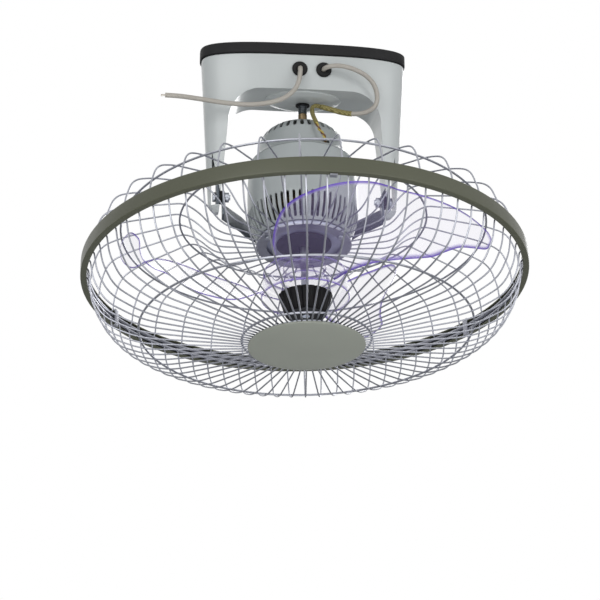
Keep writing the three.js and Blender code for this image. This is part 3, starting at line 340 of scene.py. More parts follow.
def flowing(points, steps):
    """Evenly spaced points on a smooth line through the given ones."""
    knots = [Vector(p) for p in points]
    knots = [knots[0] * 2 - knots[1], *knots, knots[-1] * 2 - knots[-2]]
    dense = []
    for i in range(1, len(knots) - 2):
        p0, p1, p2, p3 = knots[i - 1 : i + 3]
        t01 = max((p1 - p0).length, 1e-6) ** 0.5
        t12 = max((p2 - p1).length, 1e-6) ** 0.5
        t23 = max((p3 - p2).length, 1e-6) ** 0.5
        m1 = p2 - p1 + t12 * ((p1 - p0) / t01 - (p2 - p0) / (t01 + t12))
        m2 = p2 - p1 + t12 * ((p3 - p2) / t23 - (p3 - p1) / (t12 + t23))
        dense += [between(p1, p2, m1, m2, k / 12) for k in range(12)]
    dense.append(knots[-2])
    lengths = [0.0]
    for a, b in zip(dense, dense[1:]):
        lengths.append(lengths[-1] + (b - a).length)
    result, j = [], 0
    for i in range(steps + 1):
        want = lengths[-1] * i / steps
        while j < len(lengths) - 2 and lengths[j + 1] < want:
            j += 1
        share = (want - lengths[j]) / max(lengths[j + 1] - lengths[j], 1e-9)
        result.append(dense[j].lerp(dense[j + 1], share))
    return result


# ---- objects ----
def linked(name, data):
    obj = bpy.data.objects.new(name, data)
    bpy.context.scene.collection.objects.link(obj)
    return obj


def raw_object(name, shape, matrix):
    verts, faces = shape
    mesh = bpy.data.meshes.new(name)
    mesh.from_pydata(verts, [], faces)
    work = bmesh.new()
    work.from_mesh(mesh)
    bmesh.ops.remove_doubles(work, verts=work.verts, dist=1e-4)
    bmesh.ops.recalc_face_normals(work, faces=work.faces)
    work.to_mesh(mesh)
    work.free()
    mesh.transform(TO_METRES @ matrix)
    return linked(name, mesh)


def settle(obj):
    """Turns what the modifiers make into the mesh itself."""
    graph = bpy.context.evaluated_depsgraph_get()
    made = bpy.data.meshes.new_from_object(obj.evaluated_get(graph))
    obj.modifiers.clear()
    old = obj.data
    obj.data = made
    bpy.data.meshes.remove(old)


def carve(obj, shapes, matrix, keep="DIFFERENCE"):
    for shape in shapes:
        cutter = raw_object("cutter", shape, matrix)
        modifier = obj.modifiers.new("cut", "BOOLEAN")
        modifier.operation = keep
        modifier.solver = "EXACT"
        modifier.object = cutter
        settle(obj)
        mesh = cutter.data
        bpy.data.objects.remove(cutter)
        bpy.data.meshes.remove(mesh)


def ease_edges(obj, width, angle=40, segments=2):
    modifier = obj.modifiers.new("edges", "BEVEL")
    modifier.width = width * MM
    modifier.segments = segments
    modifier.limit_method = "ANGLE"
    modifier.angle_limit = math.radians(angle)
    modifier.use_clamp_overlap = True
    settle(obj)


def smooth(obj, angle=35):
    for polygon in obj.data.polygons:
        polygon.use_smooth = True
    obj.data.set_sharp_from_angle(angle=math.radians(angle))


def finished(obj, finish, body, nodes=(), angle=35):
    """Smooth shading, finish, body and the CAD nodes that the piece stands for."""
    smooth(obj, angle)
    obj.data.materials.clear()
    obj.data.materials.append(material(finish))
    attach(obj, body)
    if nodes:
        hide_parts(*nodes)
    return obj


def piece(name, shape, finish, body, nodes=(), matrix=HEAD):
    return finished(raw_object(name, shape, matrix), finish, body, nodes)


def fixed(name, shape, finish, slot, *nodes):
    """A piece of the canopy, its heights taken from the ceiling."""
    return piece(name, shape, finish, "canopy", nodes, UPRIGHT)


def dress(node, finish):
    """A finish for a node that stays in view."""
    slots = NODES[node].data.materials
    slots.clear()
    slots.append(material(finish))


def finer(name, node, finish, body, ease, angle=35):
    """A node's own shape with its edges eased."""
    mesh = NODES[node].data.copy()
    obj = linked(name, mesh)
    work = bmesh.new()
    work.from_mesh(mesh)
    bmesh.ops.remove_doubles(work, verts=work.verts, dist=1e-6)
    bmesh.ops.dissolve_limit(work, angle_limit=math.radians(1), verts=work.verts, edges=work.edges)
    work.to_mesh(mesh)
    work.free()
    for attribute in [a for a in mesh.attributes if a.name == "custom_normal"]:
        mesh.attributes.remove(attribute)
    ease_edges(obj, ease)
    return finished(obj, finish, body, [node], angle)


# ---- finishes ----
def srgb(red, green, blue):
    values = []
    for value in (red, green, blue):
        share = value / 255
        values.append(share / 12.92 if share <= 0.04045 else ((share + 0.055) / 1.055) ** 2.4)
    return (*values, 1.0)


def set_inputs(node, values):
    for key, value in values.items():
        node.inputs[key.replace("_", " ")].default_value = value


class Finish:
    """A material whose colour, roughness and relief come from noise."""

    def __init__(self, name):
        self.material = bpy.data.materials.new(name)
        self.material.use_nodes = True
        self.nodes = self.material.node_tree.nodes
        self.links = self.material.node_tree.links
        self.shader = self.nodes["Principled BSDF"]
        self.place = self.nodes.new("ShaderNodeTexCoord").outputs["Object"]

    def node(self, kind, **values):
        made = self.nodes.new(kind)
        set_inputs(made, values)
        return made

    def noise(self, scale, detail, stretch):
        mapping = self.node("ShaderNodeMapping", Scale=stretch)
        self.links.new(self.place, mapping.inputs["Vector"])
        noise = self.node("ShaderNodeTexNoise", Scale=scale, Detail=detail)
        self.links.new(mapping.outputs["Vector"], noise.inputs["Vector"])
        return noise.outputs["Fac"]

    def ramp(self, source, low, high, start=0.3, end=0.7):
        """Turns a factor into the base colour."""
        ramp = self.node("ShaderNodeValToRGB")
        for element, place, shade in zip(ramp.color_ramp.elements, (start, end), (low, high)):
            element.position = place
            element.color = shade
        self.links.new(source, ramp.inputs["Fac"])
        self.links.new(ramp.outputs["Color"], self.shader.inputs["Base Color"])

    def span(self, source, socket, **values):
        """Carries a factor, stretched to other limits, to an input of the shader."""
        span = self.node("ShaderNodeMapRange", **values)
        self.links.new(source, span.inputs["Value"])
        self.links.new(span.outputs["Result"], self.shader.inputs[socket])

    def bump(self, height, strength, distance):
        bump = self.node("ShaderNodeBump", Strength=strength, Distance=distance)
        self.links.new(height, bump.inputs["Height"])
        self.links.new(bump.outputs["Normal"], self.shader.inputs["Normal"])

    def colour(self, base, spread, scale, stretch=(1, 1, 1)):
        low = (*[c * (1 - spread) for c in base[:3]], 1)
        high = (*[min(1.0, c * (1 + spread)) for c in base[:3]], 1)
        self.ramp(self.noise(scale, 4.0, stretch), low, high)

    def roughness(self, low, high, scale, stretch=(1, 1, 1)):
        self.span(self.noise(scale, 3.0, stretch), "Roughness", To_Min=low, To_Max=high)

    def relief(self, scale, strength, distance, stretch=(1, 1, 1)):
        self.bump(self.noise(scale, 2.0, stretch), strength, distance)

    def plain(self, **values):
        set_inputs(self.shader, values)


def painted(finish, base, rough, spread=0.03, coat=0.0, metal=0.0, relief=0.08, gloss=0.5):
    """Paint, plastic or rubber."""
    finish.colour(base, spread, 14.0)
    finish.roughness(rough * 0.85, rough * 1.2, 40.0)
    finish.relief(900.0, relief, 0.0003)
    finish.plain(Metallic=metal, Coat_Weight=coat, Coat_Roughness=0.08, Specular_IOR_Level=gloss)


def metal(finish, base, rough, spread=0.08, stretch=(1, 1, 1), scale=120.0):
    finish.colour(base, spread, scale, stretch)
    finish.roughness(rough * 0.7, rough * 1.35, scale, stretch)
    finish.relief(scale * 4, 0.06, 0.0002, stretch)
    finish.plain(Metallic=1.0)


def clear_violet(finish, clear, edge):
    """See-through plastic, nearly clear in the middle of a blade and violet along its edges: the plastic's
    own violet, deepened there by painted shade that stands for its thickness seen edge-on.
    """
    along = finish.node("ShaderNodeAttribute")
    along.attribute_name = "edge_shade_share"
    # Painted shade: points near an edge or rim get a deeper, less clear violet, standing for the plastic's
    # thickness seen there.
    finish.ramp(along.outputs["Fac"], clear, edge, 0.2, 0.95)
    finish.span(along.outputs["Fac"], "Alpha", From_Min=0.1, To_Min=0.07, To_Max=0.9)
    finish.roughness(0.08, 0.16, 30.0)
    finish.relief(60.0, 0.05, 0.0004)


def woven(finish, first, second):
    """A braided sleeve: two crossing sets of bands."""
    wave = finish.node("ShaderNodeTexWave", Scale=420.0, Distortion=1.5)
    wave.bands_direction = "DIAGONAL"
    finish.links.new(finish.place, wave.inputs["Vector"])
    finish.ramp(wave.outputs["Fac"], first, second)
    finish.bump(wave.outputs["Fac"], 0.5, 0.0004)
    finish.plain(Roughness=0.75)


def colours():
    return bpy.context.scene.fan_colours


def sizes():
    return bpy.context.scene.fan_sizes


def material(name):
    """The named finish, made on first use."""
    made = bpy.data.materials.get(name)
    if made is None:
        finish = Finish(name)
        FINISHES[name](finish)
        made = finish.material
    return made


FINISHES = {
    "canopy_gloss": lambda f: painted(f, (*colours().canopy, 1), 0.34, 0.02, coat=0.2, relief=0.04),
    # dark plastic of the top rim; on the base cap it is also painted shade
    "dark_plastic_and_shade": lambda f: painted(f, srgb(24, 24, 25), 0.62, 0.08, relief=0.3, gloss=0.25),
    "black_rubber": lambda f: painted(f, srgb(14, 14, 15), 0.6, 0.15, relief=0.3, gloss=0.25),
    "nut_plastic": lambda f: painted(f, srgb(9, 8, 10), 0.5, 0.1, relief=0.1, gloss=0.2),
    "cover_paint": lambda f: painted(f, (*colours().motor, 1), 0.34, 0.03, coat=0.12, relief=0.12),
    "band_olive": lambda f: painted(f, (*colours().band, 1), 0.42, 0.04, coat=0.08, relief=0.1, gloss=0.35),
    "badge_satin": lambda f: painted(f, (*colours().badge, 1), 0.36, 0.04, coat=0.3, relief=0.06),
    "wire_steel": lambda f: metal(f, srgb(162, 164, 172), 0.36, 0.08),
    "zinc": lambda f: metal(f, srgb(178, 182, 190), 0.34, 0.1),
    "end_steel": lambda f: metal(f, srgb(170, 174, 190), 0.4, 0.12),
    "slate_steel": lambda f: painted(f, srgb(88, 95, 102), 0.36, 0.1, metal=0.6, relief=0.2),
    "rod_steel": lambda f: metal(f, srgb(92, 96, 100), 0.42, 0.15),
    "ball_brass": lambda f: metal(f, srgb(120, 104, 80), 0.4, 0.15),
    "copper_wire": lambda f: metal(f, srgb(84, 70, 56), 0.45, 0.25, (1, 1, 9), 300.0),
    "stator_iron": lambda f: metal(f, srgb(120, 122, 126), 0.5, 0.2, (1, 1, 40), 60.0),
    "cord_vinyl": lambda f: painted(f, srgb(172, 167, 158), 0.5, 0.06, relief=0.2),
    "core_brown": lambda f: painted(f, srgb(110, 76, 48), 0.45, 0.1, relief=0.15),
    "core_yellow": lambda f: painted(f, srgb(186, 168, 84), 0.45, 0.1, relief=0.15),
    "sleeve_olive": lambda f: woven(f, srgb(108, 100, 58), srgb(158, 148, 92)),
    "board_green": lambda f: painted(f, srgb(40, 104, 66), 0.4, 0.25, relief=0.2),
    "nylon_white": lambda f: painted(f, srgb(226, 222, 210), 0.4, 0.05, relief=0.15),
    # clear violet plastic, with painted shade along the blades' edges and the hub's rims
    "blade_violet_edge_shade": lambda f: clear_violet(f, srgb(196, 180, 240), srgb(104, 72, 196)),
}


# ---- pieces ----
def oval(half_width, half_depth):
    points = []
    for i in range(144):
        angle = 2 * math.pi * i / 144
        c, s = math.cos(angle), math.sin(angle)
        x = half_width * math.copysign(abs(c) ** (2 / OVAL_POWER), c)
        points.append((x, half_depth * math.copysign(abs(s) ** (2 / OVAL_POWER), s)))
    return points


def shell_half(height):
    down = (SHELL_TOP - height) / (SHELL_TOP - LEG_BOTTOM)
    leg_down = max(0.0, (DECK_BOTTOM - height) / (DECK_BOTTOM - LEG_BOTTOM))
    width = SHELL_HALF[0] + (LEG_HALF[0] - SHELL_HALF[0]) * down
    return width, SHELL_HALF[1] + (LEG_HALF[1] - SHELL_HALF[1]) * leg_down**0.8


def canopy_body():
    heights = [LEG_BOTTOM + FOOT_ROUND * (i / 8) ** 1.6 for i in range(9)]
    rise = DECK_BOTTOM - LEG_BOTTOM - FOOT_ROUND
    heights += [LEG_BOTTOM + FOOT_ROUND + rise * i / 14 for i in range(1, 15)]
    heights += [SHELL_TOP - 2, SHELL_TOP - 0.8, SHELL_TOP]
    levels = []
    for height in heights:
        width, depth = shell_half(height)
        round_foot = max(0.0, FOOT_ROUND - (height - LEG_BOTTOM)) ** 2 / 14
        round_top = max(0.0, height - SHELL_TOP + 1.2) ** 2 * 0.6
        inset = round_foot + round_top
        levels.append((oval(width - inset, depth - inset), height))
    return lofted(levels)


def arch_cutter():
    x = ARCH_HALF_TOP - ARCH_CORNER
    z = DECK_BOTTOM - ARCH_CORNER
    right = arc(x, z, ARCH_CORNER, 0, 90, 20)
    left = [(-px, pz) for px, pz in right][::-1]
    below = LEG_BOTTOM - 5
    outline = [(ARCH_HALF_FOOT, below), *right, *left, (-ARCH_HALF_FOOT, below)]
    return shifted(extruded(outline, -60, 60), FRONTWARD)


def hollow_cutter():
    levels = []
    for height in (DECK_BOTTOM + SHELL_WALL, SHELL_TOP + 1):
        width, depth = shell_half(height)
        levels.append((oval(width - SHELL_WALL, depth - SHELL_WALL), height))
    return lofted(levels)


def pocket_cutters(side):
    """The hollow of a leg, and its mouth towards the motor."""
    outer = side * (LEG_HALF[0] - SHELL_WALL)
    cutters = []
    for inner, top in ((POCKET_INNER, DECK_BOTTOM + SHELL_WALL + 1), (ARCH_HALF_TOP - 3, POCKET_MOUTH)):
        across = sorted((side * inner, outer))
        cutters.append(block(*across, -POCKET_HALF, POCKET_HALF, LEG_BOTTOM + 7, top))
    return cutters


class FAN_OT_canopy(bpy.types.Operator):
    """Canopy shell with its two legs, the dark rim round its top and the dish under its deck"""

    bl_idname = "fan.canopy"
    bl_label = "Canopy"

    def execute(self, context):
        shell = raw_object("canopy", canopy_body(), UPRIGHT)
        dish = eased([(0, -50), (41, -50), (41, -52.4), (32, -55.4), (27, -56), (0, -56)], 3, 5)
        flat = Matrix.Diagonal((1, 0.72, 1, 1))
        carve(shell, [arch_cutter()], UPRIGHT)
        carve(shell, [shifted(turned(dish, 96), flat)], UPRIGHT, "UNION")
        carve(shell, [hollow_cutter(), *pocket_cutters(-1), *pocket_cutters(1)], UPRIGHT)
        holes = []
        for x in (POWER_GLAND_X, MOTOR_GLAND_X):
            stand = Matrix.Translation((x, -SHELL_HALF[1], -GLAND_DROP)) @ FRONTWARD
            holes.append(shifted(plug(GLAND_HOLE, -10, 10), stand))
        holes.append(plug(5, -58, -46))
        carve(shell, holes, UPRIGHT)
        ease_edges(shell, 0.9, 50, 3)
        finished(shell, "canopy_gloss", "canopy", ["canopy_shell"], 30)
        self.rim()
        dress("ceiling_plate", "zinc")
        return {"FINISHED"}

    def rim(self):
        outer = oval(*RIM_HALF)
        rim = raw_object("top_rim", extruded(outer, -RIM_HEIGHT, 0), UPRIGHT)
        inner = oval(RIM_HALF[0] - 3, RIM_HALF[1] - 3)
        carve(rim, [extruded(inner, -RIM_HEIGHT - 1, 1)], UPRIGHT)
        ease_edges(rim, 1.0, 50, 3)
        finished(rim, "dark_plastic_and_shade", "canopy", ["trim_rim"], 30)


class FAN_OT_glands(bpy.types.Operator):
    """Two rubber cord glands in the front of the canopy"""

    bl_idname = "fan.glands"
    bl_label = "Cord glands"

    def execute(self, context):
        outline = [(3.1, -8), (6.0, -8), (6.0, 0), (8.25, 0), (8.25, 1.4), (6.6, 2.6), (3.1, 2.6)]
        for x, name in ((POWER_GLAND_X, "power_gland"), (MOTOR_GLAND_X, "motor_gland")):
            stand = Matrix.Translation((x, -SHELL_HALF[1] - GAP, -GLAND_DROP)) @ FRONTWARD
            shape = rounded(outline, 0.8, 3, 48)
            piece(f"{name}_rubber", shape, "black_rubber", "canopy", [name], stand)
        return {"FINISHED"}


def cord_curve(name, points, diameter, node):
    curve = bpy.data.curves.new(name, "CURVE")
    curve.dimensions = "3D"
    curve.bevel_depth = diameter / 2
    curve.bevel_resolution = 5
    curve.use_fill_caps = True
    spline = curve.splines.new("POLY")
    spline.points.add(len(points) - 1)
    for target, point in zip(spline.points, points):
        target.co = (*(point * MM), 1)
        target.radius = 1.0
    spline.use_smooth = True
    curve.materials.append(material("cord_vinyl"))
    obj = linked(name, curve)
    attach(obj, "canopy")
    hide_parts(node)
    return obj


class FAN_OT_cords(bpy.types.Operator):
    """Supply cord with its bared cores, and the cord that loops to the motor"""

    bl_idname = "fan.cords"
    bl_label = "Cords"

    def execute(self, context):
        diameter = sizes().cord_diameter
        supply = flowing(POWER_CORD, 70)
        cord = cord_curve("supply_cord", supply, diameter, "power_cord")
        cores = self.cores(supply)
        loop = flowing(MOTOR_CORD, 80)
        cord = cord_curve("looped_cord", loop, diameter, "motor_cord")
        sleeve = fixed("loop_sleeve", tube(loop[62:], 2.8, 16), "sleeve_olive", "sleeve")
        return {"FINISHED"}

    def cores(self, supply):
        """The two cores at the cord's bared end."""
        made = []
        ends = (("core_a", 0.9, 0.5, "core_brown"), ("core_b", -0.9, -0.5, "nylon_white"))
        for name, dy, dz, finish in ends:
            steps = ((4, dy * 0.9, dz * 0.9), (-1.2, dy, dz), (-4.2, dy * 1.5, dz * 1.6 - 0.5))
            shape = tube(flowing([supply[-1] + Vector(step) for step in steps], 8), 0.8, 10)
            made.append(fixed(f"supply_{name}", shape, finish, "cord_grey"))
        return made


class FAN_OT_leads(bpy.types.Operator):
    """Woven sleeve and the two twisted wires that run down to the motor"""

    bl_idname = "fan.leads"
    bl_label = "Motor leads"

    def execute(self, context):
        path = flowing(LEAD_SLEEVE, 36)
        sleeve = self.bare_piece("lead_sleeve_woven", tube(path, 2.3, 16), ["sleeve_olive"], "lead_sleeve")
        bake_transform(sleeve, "canopy", "gimbal", start=tuple(path[4] * MM), end=tuple(path[-1] * MM))
        self.declare(sleeve, path, 4.6)
        path = flowing(LEAD_WIRES, 40)
        strands = [tube(self.twisted(path, phase), 0.9, 10) for phase in (0, math.pi)]
        finishes = ["core_yellow", "core_brown"]
        wires = self.bare_piece("lead_wires_twisted", together(strands), finishes, "lead_wires")
        half = len(wires.data.polygons) // 2
        for polygon in wires.data.polygons:
            polygon.material_index = 0 if polygon.index < half else 1
        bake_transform(wires, "gimbal", "head", start=tuple(path[0] * MM), end=tuple(path[-12] * MM))
        self.declare(wires, path, 3.5)
        return {"FINISHED"}

    def twisted(self, path, phase):
        points = []
        for i, point in enumerate(path):
            along = (path[min(i + 1, len(path) - 1)] - path[max(i - 1, 0)]).normalized()
            side = along.cross(Vector((0, 0.3, 1))).normalized()
            up = side.cross(along)
            angle = phase + i * 0.42
            points.append(point + side * 0.88 * math.cos(angle) + up * 0.88 * math.sin(angle))
        return points

    def bare_piece(self, name, shape, finishes, node):
        obj = raw_object(name, shape, UPRIGHT)
        smooth(obj)
        for finish in finishes:
            obj.data.materials.append(material(finish))
        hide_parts(node)
        return obj

    def declare(self, obj, path, diameter):
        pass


class FAN_OT_link(bpy.types.Operator):
    """Fixed link under the canopy: washer, ridged rod and ball end"""

    bl_idname = "fan.link"
    bl_label = "Orbit link"

    def execute(self, context):
        washer = collar(5, 7.6, -58, -56.3, 0.5)
        fixed("washer_rubber", washer, "black_rubber", "black_plastic", "link_washer")
        outline = [(0, -66.7), (4.1, -66.7)]
        for i in range(5):
            low = -66.2 + i * 2.0
            outline += [(4.1, low), (4.7, low + 0.3), (4.7, low + 1.3), (4.1, low + 1.6)]
        outline += [(4.7, -56), (4.7, -6.1), (0, -6.1)]
        fixed("rod_ridged", turned(eased(outline, 0.25, 2), 40), "rod_steel", "dark_steel", "link_rod")
        ball = [(r, z) for r, z in arc(0, -72, 4.7, -90, 0, 16)] + [(4.7, -67.4), (4.3, -67), (0, -67)]
        fixed("ball_end", turned(ball, 48), "ball_brass", "brass", "link_ball")
        finer("link_lock_nut", "link_nut", "zinc", "canopy", 0.3)
        return {"FINISHED"}


class FAN_OT_pivots(bpy.types.Operator):
    """Yoke inside the canopy, and the bolt, spacer and nut of each pivot"""

    bl_idname = "fan.pivots"
    bl_label = "Yoke and pivots"

    def execute(self, context):
        finer("yoke", "yoke_frame", "slate_steel", "canopy", 0.5)
        for name, side in (("left", -1), ("right", 1)):
            aim = PIVOT @ Matrix.Rotation(side * math.pi / 2, 4, "Y")
            spacer, node = collar(3.3, 7.5, 86, 88.7, 0.5), f"pivot_spacer_{name}"
            piece(f"spacer_{name}", spacer, "black_rubber", "canopy", [node], aim)
            finer(f"bolt_{name}", f"pivot_bolt_{name}", "zinc", "canopy", 0.35)
            finer(f"nut_{name}", f"pivot_nut_{name}", "zinc", "canopy", 0.3)
        return {"FINISHED"}


class FAN_OT_gimbal(bpy.types.Operator):
    """Strap that carries the motor between the canopy's legs, with its rear pin"""

    bl_idname = "fan.gimbal"
    bl_label = "Gimbal strap"

    def execute(self, context):
        finer("strap", "gimbal_strap", "slate_steel", "gimbal", 0.45, 40)
        finer("strap_pin", "rear_pin", "zinc", "head", 0.4)
        return {"FINISHED"}


def slot_cutters(count, width, inner, outer, bottom, top):
    half = width / 2
    outline = arc(0, top - half, half, 0, 180, 6) + arc(0, bottom + half, half, 180, 360, 6)
    stand = Matrix(((0, 0, 1, 0), (1, 0, 0, 0), (0, 1, 0, 0), (0, 0, 0, 1)))
    slot = shifted(extruded(outline, inner, outer), stand)
    return repeated(slot, count, 180 / count)


def top_cover_outline():
    wall = 2.0
    return [
        (CRANK_HOLE, MOTOR_TOP - wall), (CRANK_HOLE, MOTOR_TOP), (31, MOTOR_TOP), (37, MOTOR_TOP - 2),
        (42, MOTOR_TOP - 7), (45.5, MOTOR_TOP - 14), (DOME_RADIUS, MOTOR_TOP - 27),
        (50, MOTOR_PARTING + 8), (56, MOTOR_PARTING + 1.5), (56.8, MOTOR_PARTING + GAP),
        (54.8, MOTOR_PARTING + GAP), (53.5, MOTOR_PARTING + 1.5), (48, MOTOR_PARTING + 7),
        (46, MOTOR_TOP - 27), (43.5, MOTOR_TOP - 14), (40, MOTOR_TOP - 8.5), (36, MOTOR_TOP - 4),
        (30, MOTOR_TOP - wall),
    ]


def bottom_cover_outline():
    outer = [
        (COVER_FOOT, MOTOR_PARTING), (MOTOR_RADIUS, 8), (MOTOR_RADIUS, -18), (56.4, -32),
        (END_PLATE_RADIUS + 1.3, MOTOR_BOTTOM + 1),
    ]
    return outer + [(r - 2, z) for r, z in outer][::-1]


class FAN_OT_motor_covers(bpy.types.Operator):
    """Slotted top cover and slotted bottom cover of the motor"""

    bl_idname = "fan.motor_covers"
    bl_label = "Motor covers"

    def execute(self, context):
        top = raw_object("cover_top", rounded(top_cover_outline(), 2.2, 4, 144), HEAD)
        aim = Matrix.Translation((20, 0, MOTOR_PARTING + 8)) @ REARWARD
        lead_hole = shifted(plug(4.6, -60, -40, 32), aim)
        carve(top, [slot_cutters(TOP_SLOTS, 3.9, 35, 52, MOTOR_TOP - 14, MOTOR_TOP - 3.5), lead_hole], HEAD)
        finished(top, "cover_paint", "head", ["motor_top_cover"], 30)
        bottom = raw_object("cover_bottom", rounded(bottom_cover_outline(), 3.0, 5, 168), HEAD)
        carve(bottom, [slot_cutters(BOTTOM_SLOTS, 2.9, 40, 62, -46, -19)], HEAD)
        carve(bottom, [shifted(collar(3.3, 8, 56.6, 62, 0.6, 40), REARWARD)], HEAD, "UNION")
        carve(bottom, [shifted(plug(3.3, 50, 70, 32), REARWARD)], HEAD)
        finished(bottom, "cover_paint", "head", ["motor_bottom_cover"], 30)
        return {"FINISHED"}


class FAN_OT_motor_base(bpy.types.Operator):
    """End plate with its screws, the dark cap on it, dark plastic that also stands as painted shade for the
    recess in the plate's middle, and what shows inside the slots
    """

    bl_idname = "fan.motor_base"
    bl_label = "Motor base"

    def execute(self, context):
        finer("base_plate", "motor_end_plate", "end_steel", "head", 0.4)
        # The cap's dark colour is partly painted shade: besides dark plastic it stands for the shade in the
        # recess in the middle of the end plate.
        cap = [(6, -53.6), (6, -58.6), (14, -58.6), (24, -57), (29, -54.6), (29, -53.6)]
        piece("base_cap_and_shade", rounded(cap, 1.2, 3, 72), "dark_plastic_and_shade", "head", ["shaft_cap"])
        for i in (1, 2, 3):
            finer(f"base_screw_{i}", f"guard_screw_{i}", "zinc", "head", 0.3)
        for node, finish in INNER_FINISHES.items():
            dress(node, finish)
        return {"FINISHED"}


INNER_FINISHES = {
    "run_capacitor": "nylon_white", "terminal_block": "nylon_white", "receiver_board": "board_green",
    "stator_core": "stator_iron", "winding_upper": "copper_wire", "winding_lower": "copper_wire",
    "bearing_upper": "zinc", "bearing_lower": "zinc", "bearing_bracket": "end_steel",
    "rotor_core": "stator_iron", "motor_shaft": "zinc", "shaft_worm": "rod_steel",
    "cross_shaft": "nylon_white", "crank_gear": "nylon_white", "crank_bush": "ball_brass",
    "badge_clamp": "zinc", "badge_screw": "zinc",
}


def wire_rows(path, count, first, radius, ease):
    flat = eased(path, ease, 6)
    wire = tube([(r, 0, z) for r, z in flat], radius, 8)
    return repeated(wire, count, first)


class FAN_OT_guard_wires(bpy.types.Operator):
    """Front and rear wire guards with their rings and the plate that screws to the motor"""

    bl_idname = "fan.guard_wires"
    bl_label = "Wire guards"

    def execute(self, context):
        radius = sizes().wire_radius / MM
        front = together([
            wire_rows(FRONT_PATH, FRONT_WIRES, FRONT_FIRST, radius, 22),
            hoop(RIM_CIRCLE, FRONT_RIM, RIM_WIRE),
        ])
        piece("guard_front_wires", front, "wire_steel", "head", ["front_guard"])
        rear = together([
            wire_rows(REAR_PATH, REAR_WIRES, REAR_FIRST, radius, 12),
            hoop(RIM_CIRCLE, REAR_RIM, RIM_WIRE),
            collar(39, 50, -55.8, -54, 0.4, 96, 2),
        ])
        piece("guard_rear_wires", rear, "wire_steel", "head", ["rear_guard"])
        for node, ring, height in GUARD_RINGS:
            wire = hoop(ring, height, RING_WIRE)
            piece(f"{node}_wire", wire, "wire_steel", "head", [node])
        return {"FINISHED"}


class FAN_OT_guard_band(bpy.types.Operator):
    """Olive band that closes the two guards together, and its clips"""

    bl_idname = "fan.guard_band"
    bl_label = "Guard band"

    def execute(self, context):
        lip, wall, skin = BAND_RADIUS - BAND_LIP, BAND_RADIUS - BAND_WALL, 1.5
        outline = [
            (BAND_RADIUS, BAND_BOTTOM), (BAND_RADIUS, BAND_TOP), (lip, BAND_TOP),
            (lip, BAND_TOP - skin), (wall, BAND_TOP - skin), (wall, BAND_BOTTOM + skin),
            (lip, BAND_BOTTOM + skin), (lip, BAND_BOTTOM),
        ]
        piece("band", rounded(outline, 1.3, 5, 240), "band_olive", "head", ["guard_band"])
        for i in (1, 2, 3):
            finer(f"band_clip_{i}", f"guard_clip_{i}", "wire_steel", "head", 0.3)
        return {"FINISHED"}


class FAN_OT_badge(bpy.types.Operator):
    """Plain domed badge in the middle of the front guard"""

    bl_idname = "fan.badge"
    bl_label = "Badge"

    def execute(self, context):
        rim = BADGE_TOP - 1.7
        angles = [math.radians(5 * i) for i in range(18)]
        dome = [(BADGE_RADIUS * math.cos(angle), rim - 3 * math.sin(angle)) for angle in angles]
        back = -165.8
        outline = [(0, back), (44, back), (44, BADGE_TOP), (BADGE_RADIUS - 0.6, BADGE_TOP)]
        outline += [(BADGE_RADIUS, BADGE_TOP - 0.6), *dome, (0, rim - 3)]
        piece("badge_cap", turned(outline, 144), "badge_satin", "head", ["badge"])
        return {"FINISHED"}


def blade_station(share):
    """The stations' values at a share of the way from root to tip, on a smooth line."""
    last = len(BLADE_STATIONS) - 1
    i = min(int(share * last), last - 1)
    t = share * last - i
    rows = [BLADE_STATIONS[max(0, min(last, k))] for k in (i - 1, i, i + 1, i + 2)]
    return [between(p1, p2, (p2 - p0) / 2, (p3 - p1) / 2, t) for p0, p1, p2, p3 in zip(*rows)]


def blade_shape(first, rows=54, columns=22):
    verts, edge_shades = [], []
    for side in (-1, 1):
        for row in range(rows + 1):
            radius, lead, trail, lead_height, trail_height = blade_station(row / rows)
            radius = min(radius, BLADE_TIP)
            from_tip = BLADE_TIP - radius + 1.0 if row > rows / 2 else math.inf
            for column in range(columns + 1):
                across = 0.5 - 0.5 * math.cos(math.pi * column / columns)
                angle = math.radians(first + lead + (trail - lead) * across)
                camber = BLADE_CAMBER * (lead - trail) / BLADE_SPAN * math.sin(math.pi * across)
                height = lead_height + (trail_height - lead_height) * across + camber
                near = min(min(across, 1 - across) * math.radians(lead - trail) * radius, from_tip)
                thin = 0.5 + 0.5 * min(1.0, near / 3.0)
                height += side * BLADE_THICK / 2 * thin
                verts.append((radius * math.cos(angle), radius * math.sin(angle), height))
                # weight of the painted edge shade: deeper violet within a few millimetres of an edge or the
                # tip
                edge_shades.append(max(0.0, 1 - near / EDGE_SHADE_WIDTH))
    width, layer = columns + 1, (rows + 1) * (columns + 1)
    faces = []
    for row in range(rows):
        for column in range(columns):
            a = row * width + column
            faces.append((a, a + 1, a + width + 1, a + width))
            faces.append((a + layer, a + layer + width, a + layer + width + 1, a + layer + 1))
    border = list(range(columns)) + [r * width + columns for r in range(rows)]
    border += [rows * width + c for c in range(columns, 0, -1)] + [r * width for r in range(rows, 0, -1)]
    for a, b in zip(border, border[1:] + border[:1]):
        faces.append((b, a, a + layer, b + layer))
    return verts, faces, edge_shades


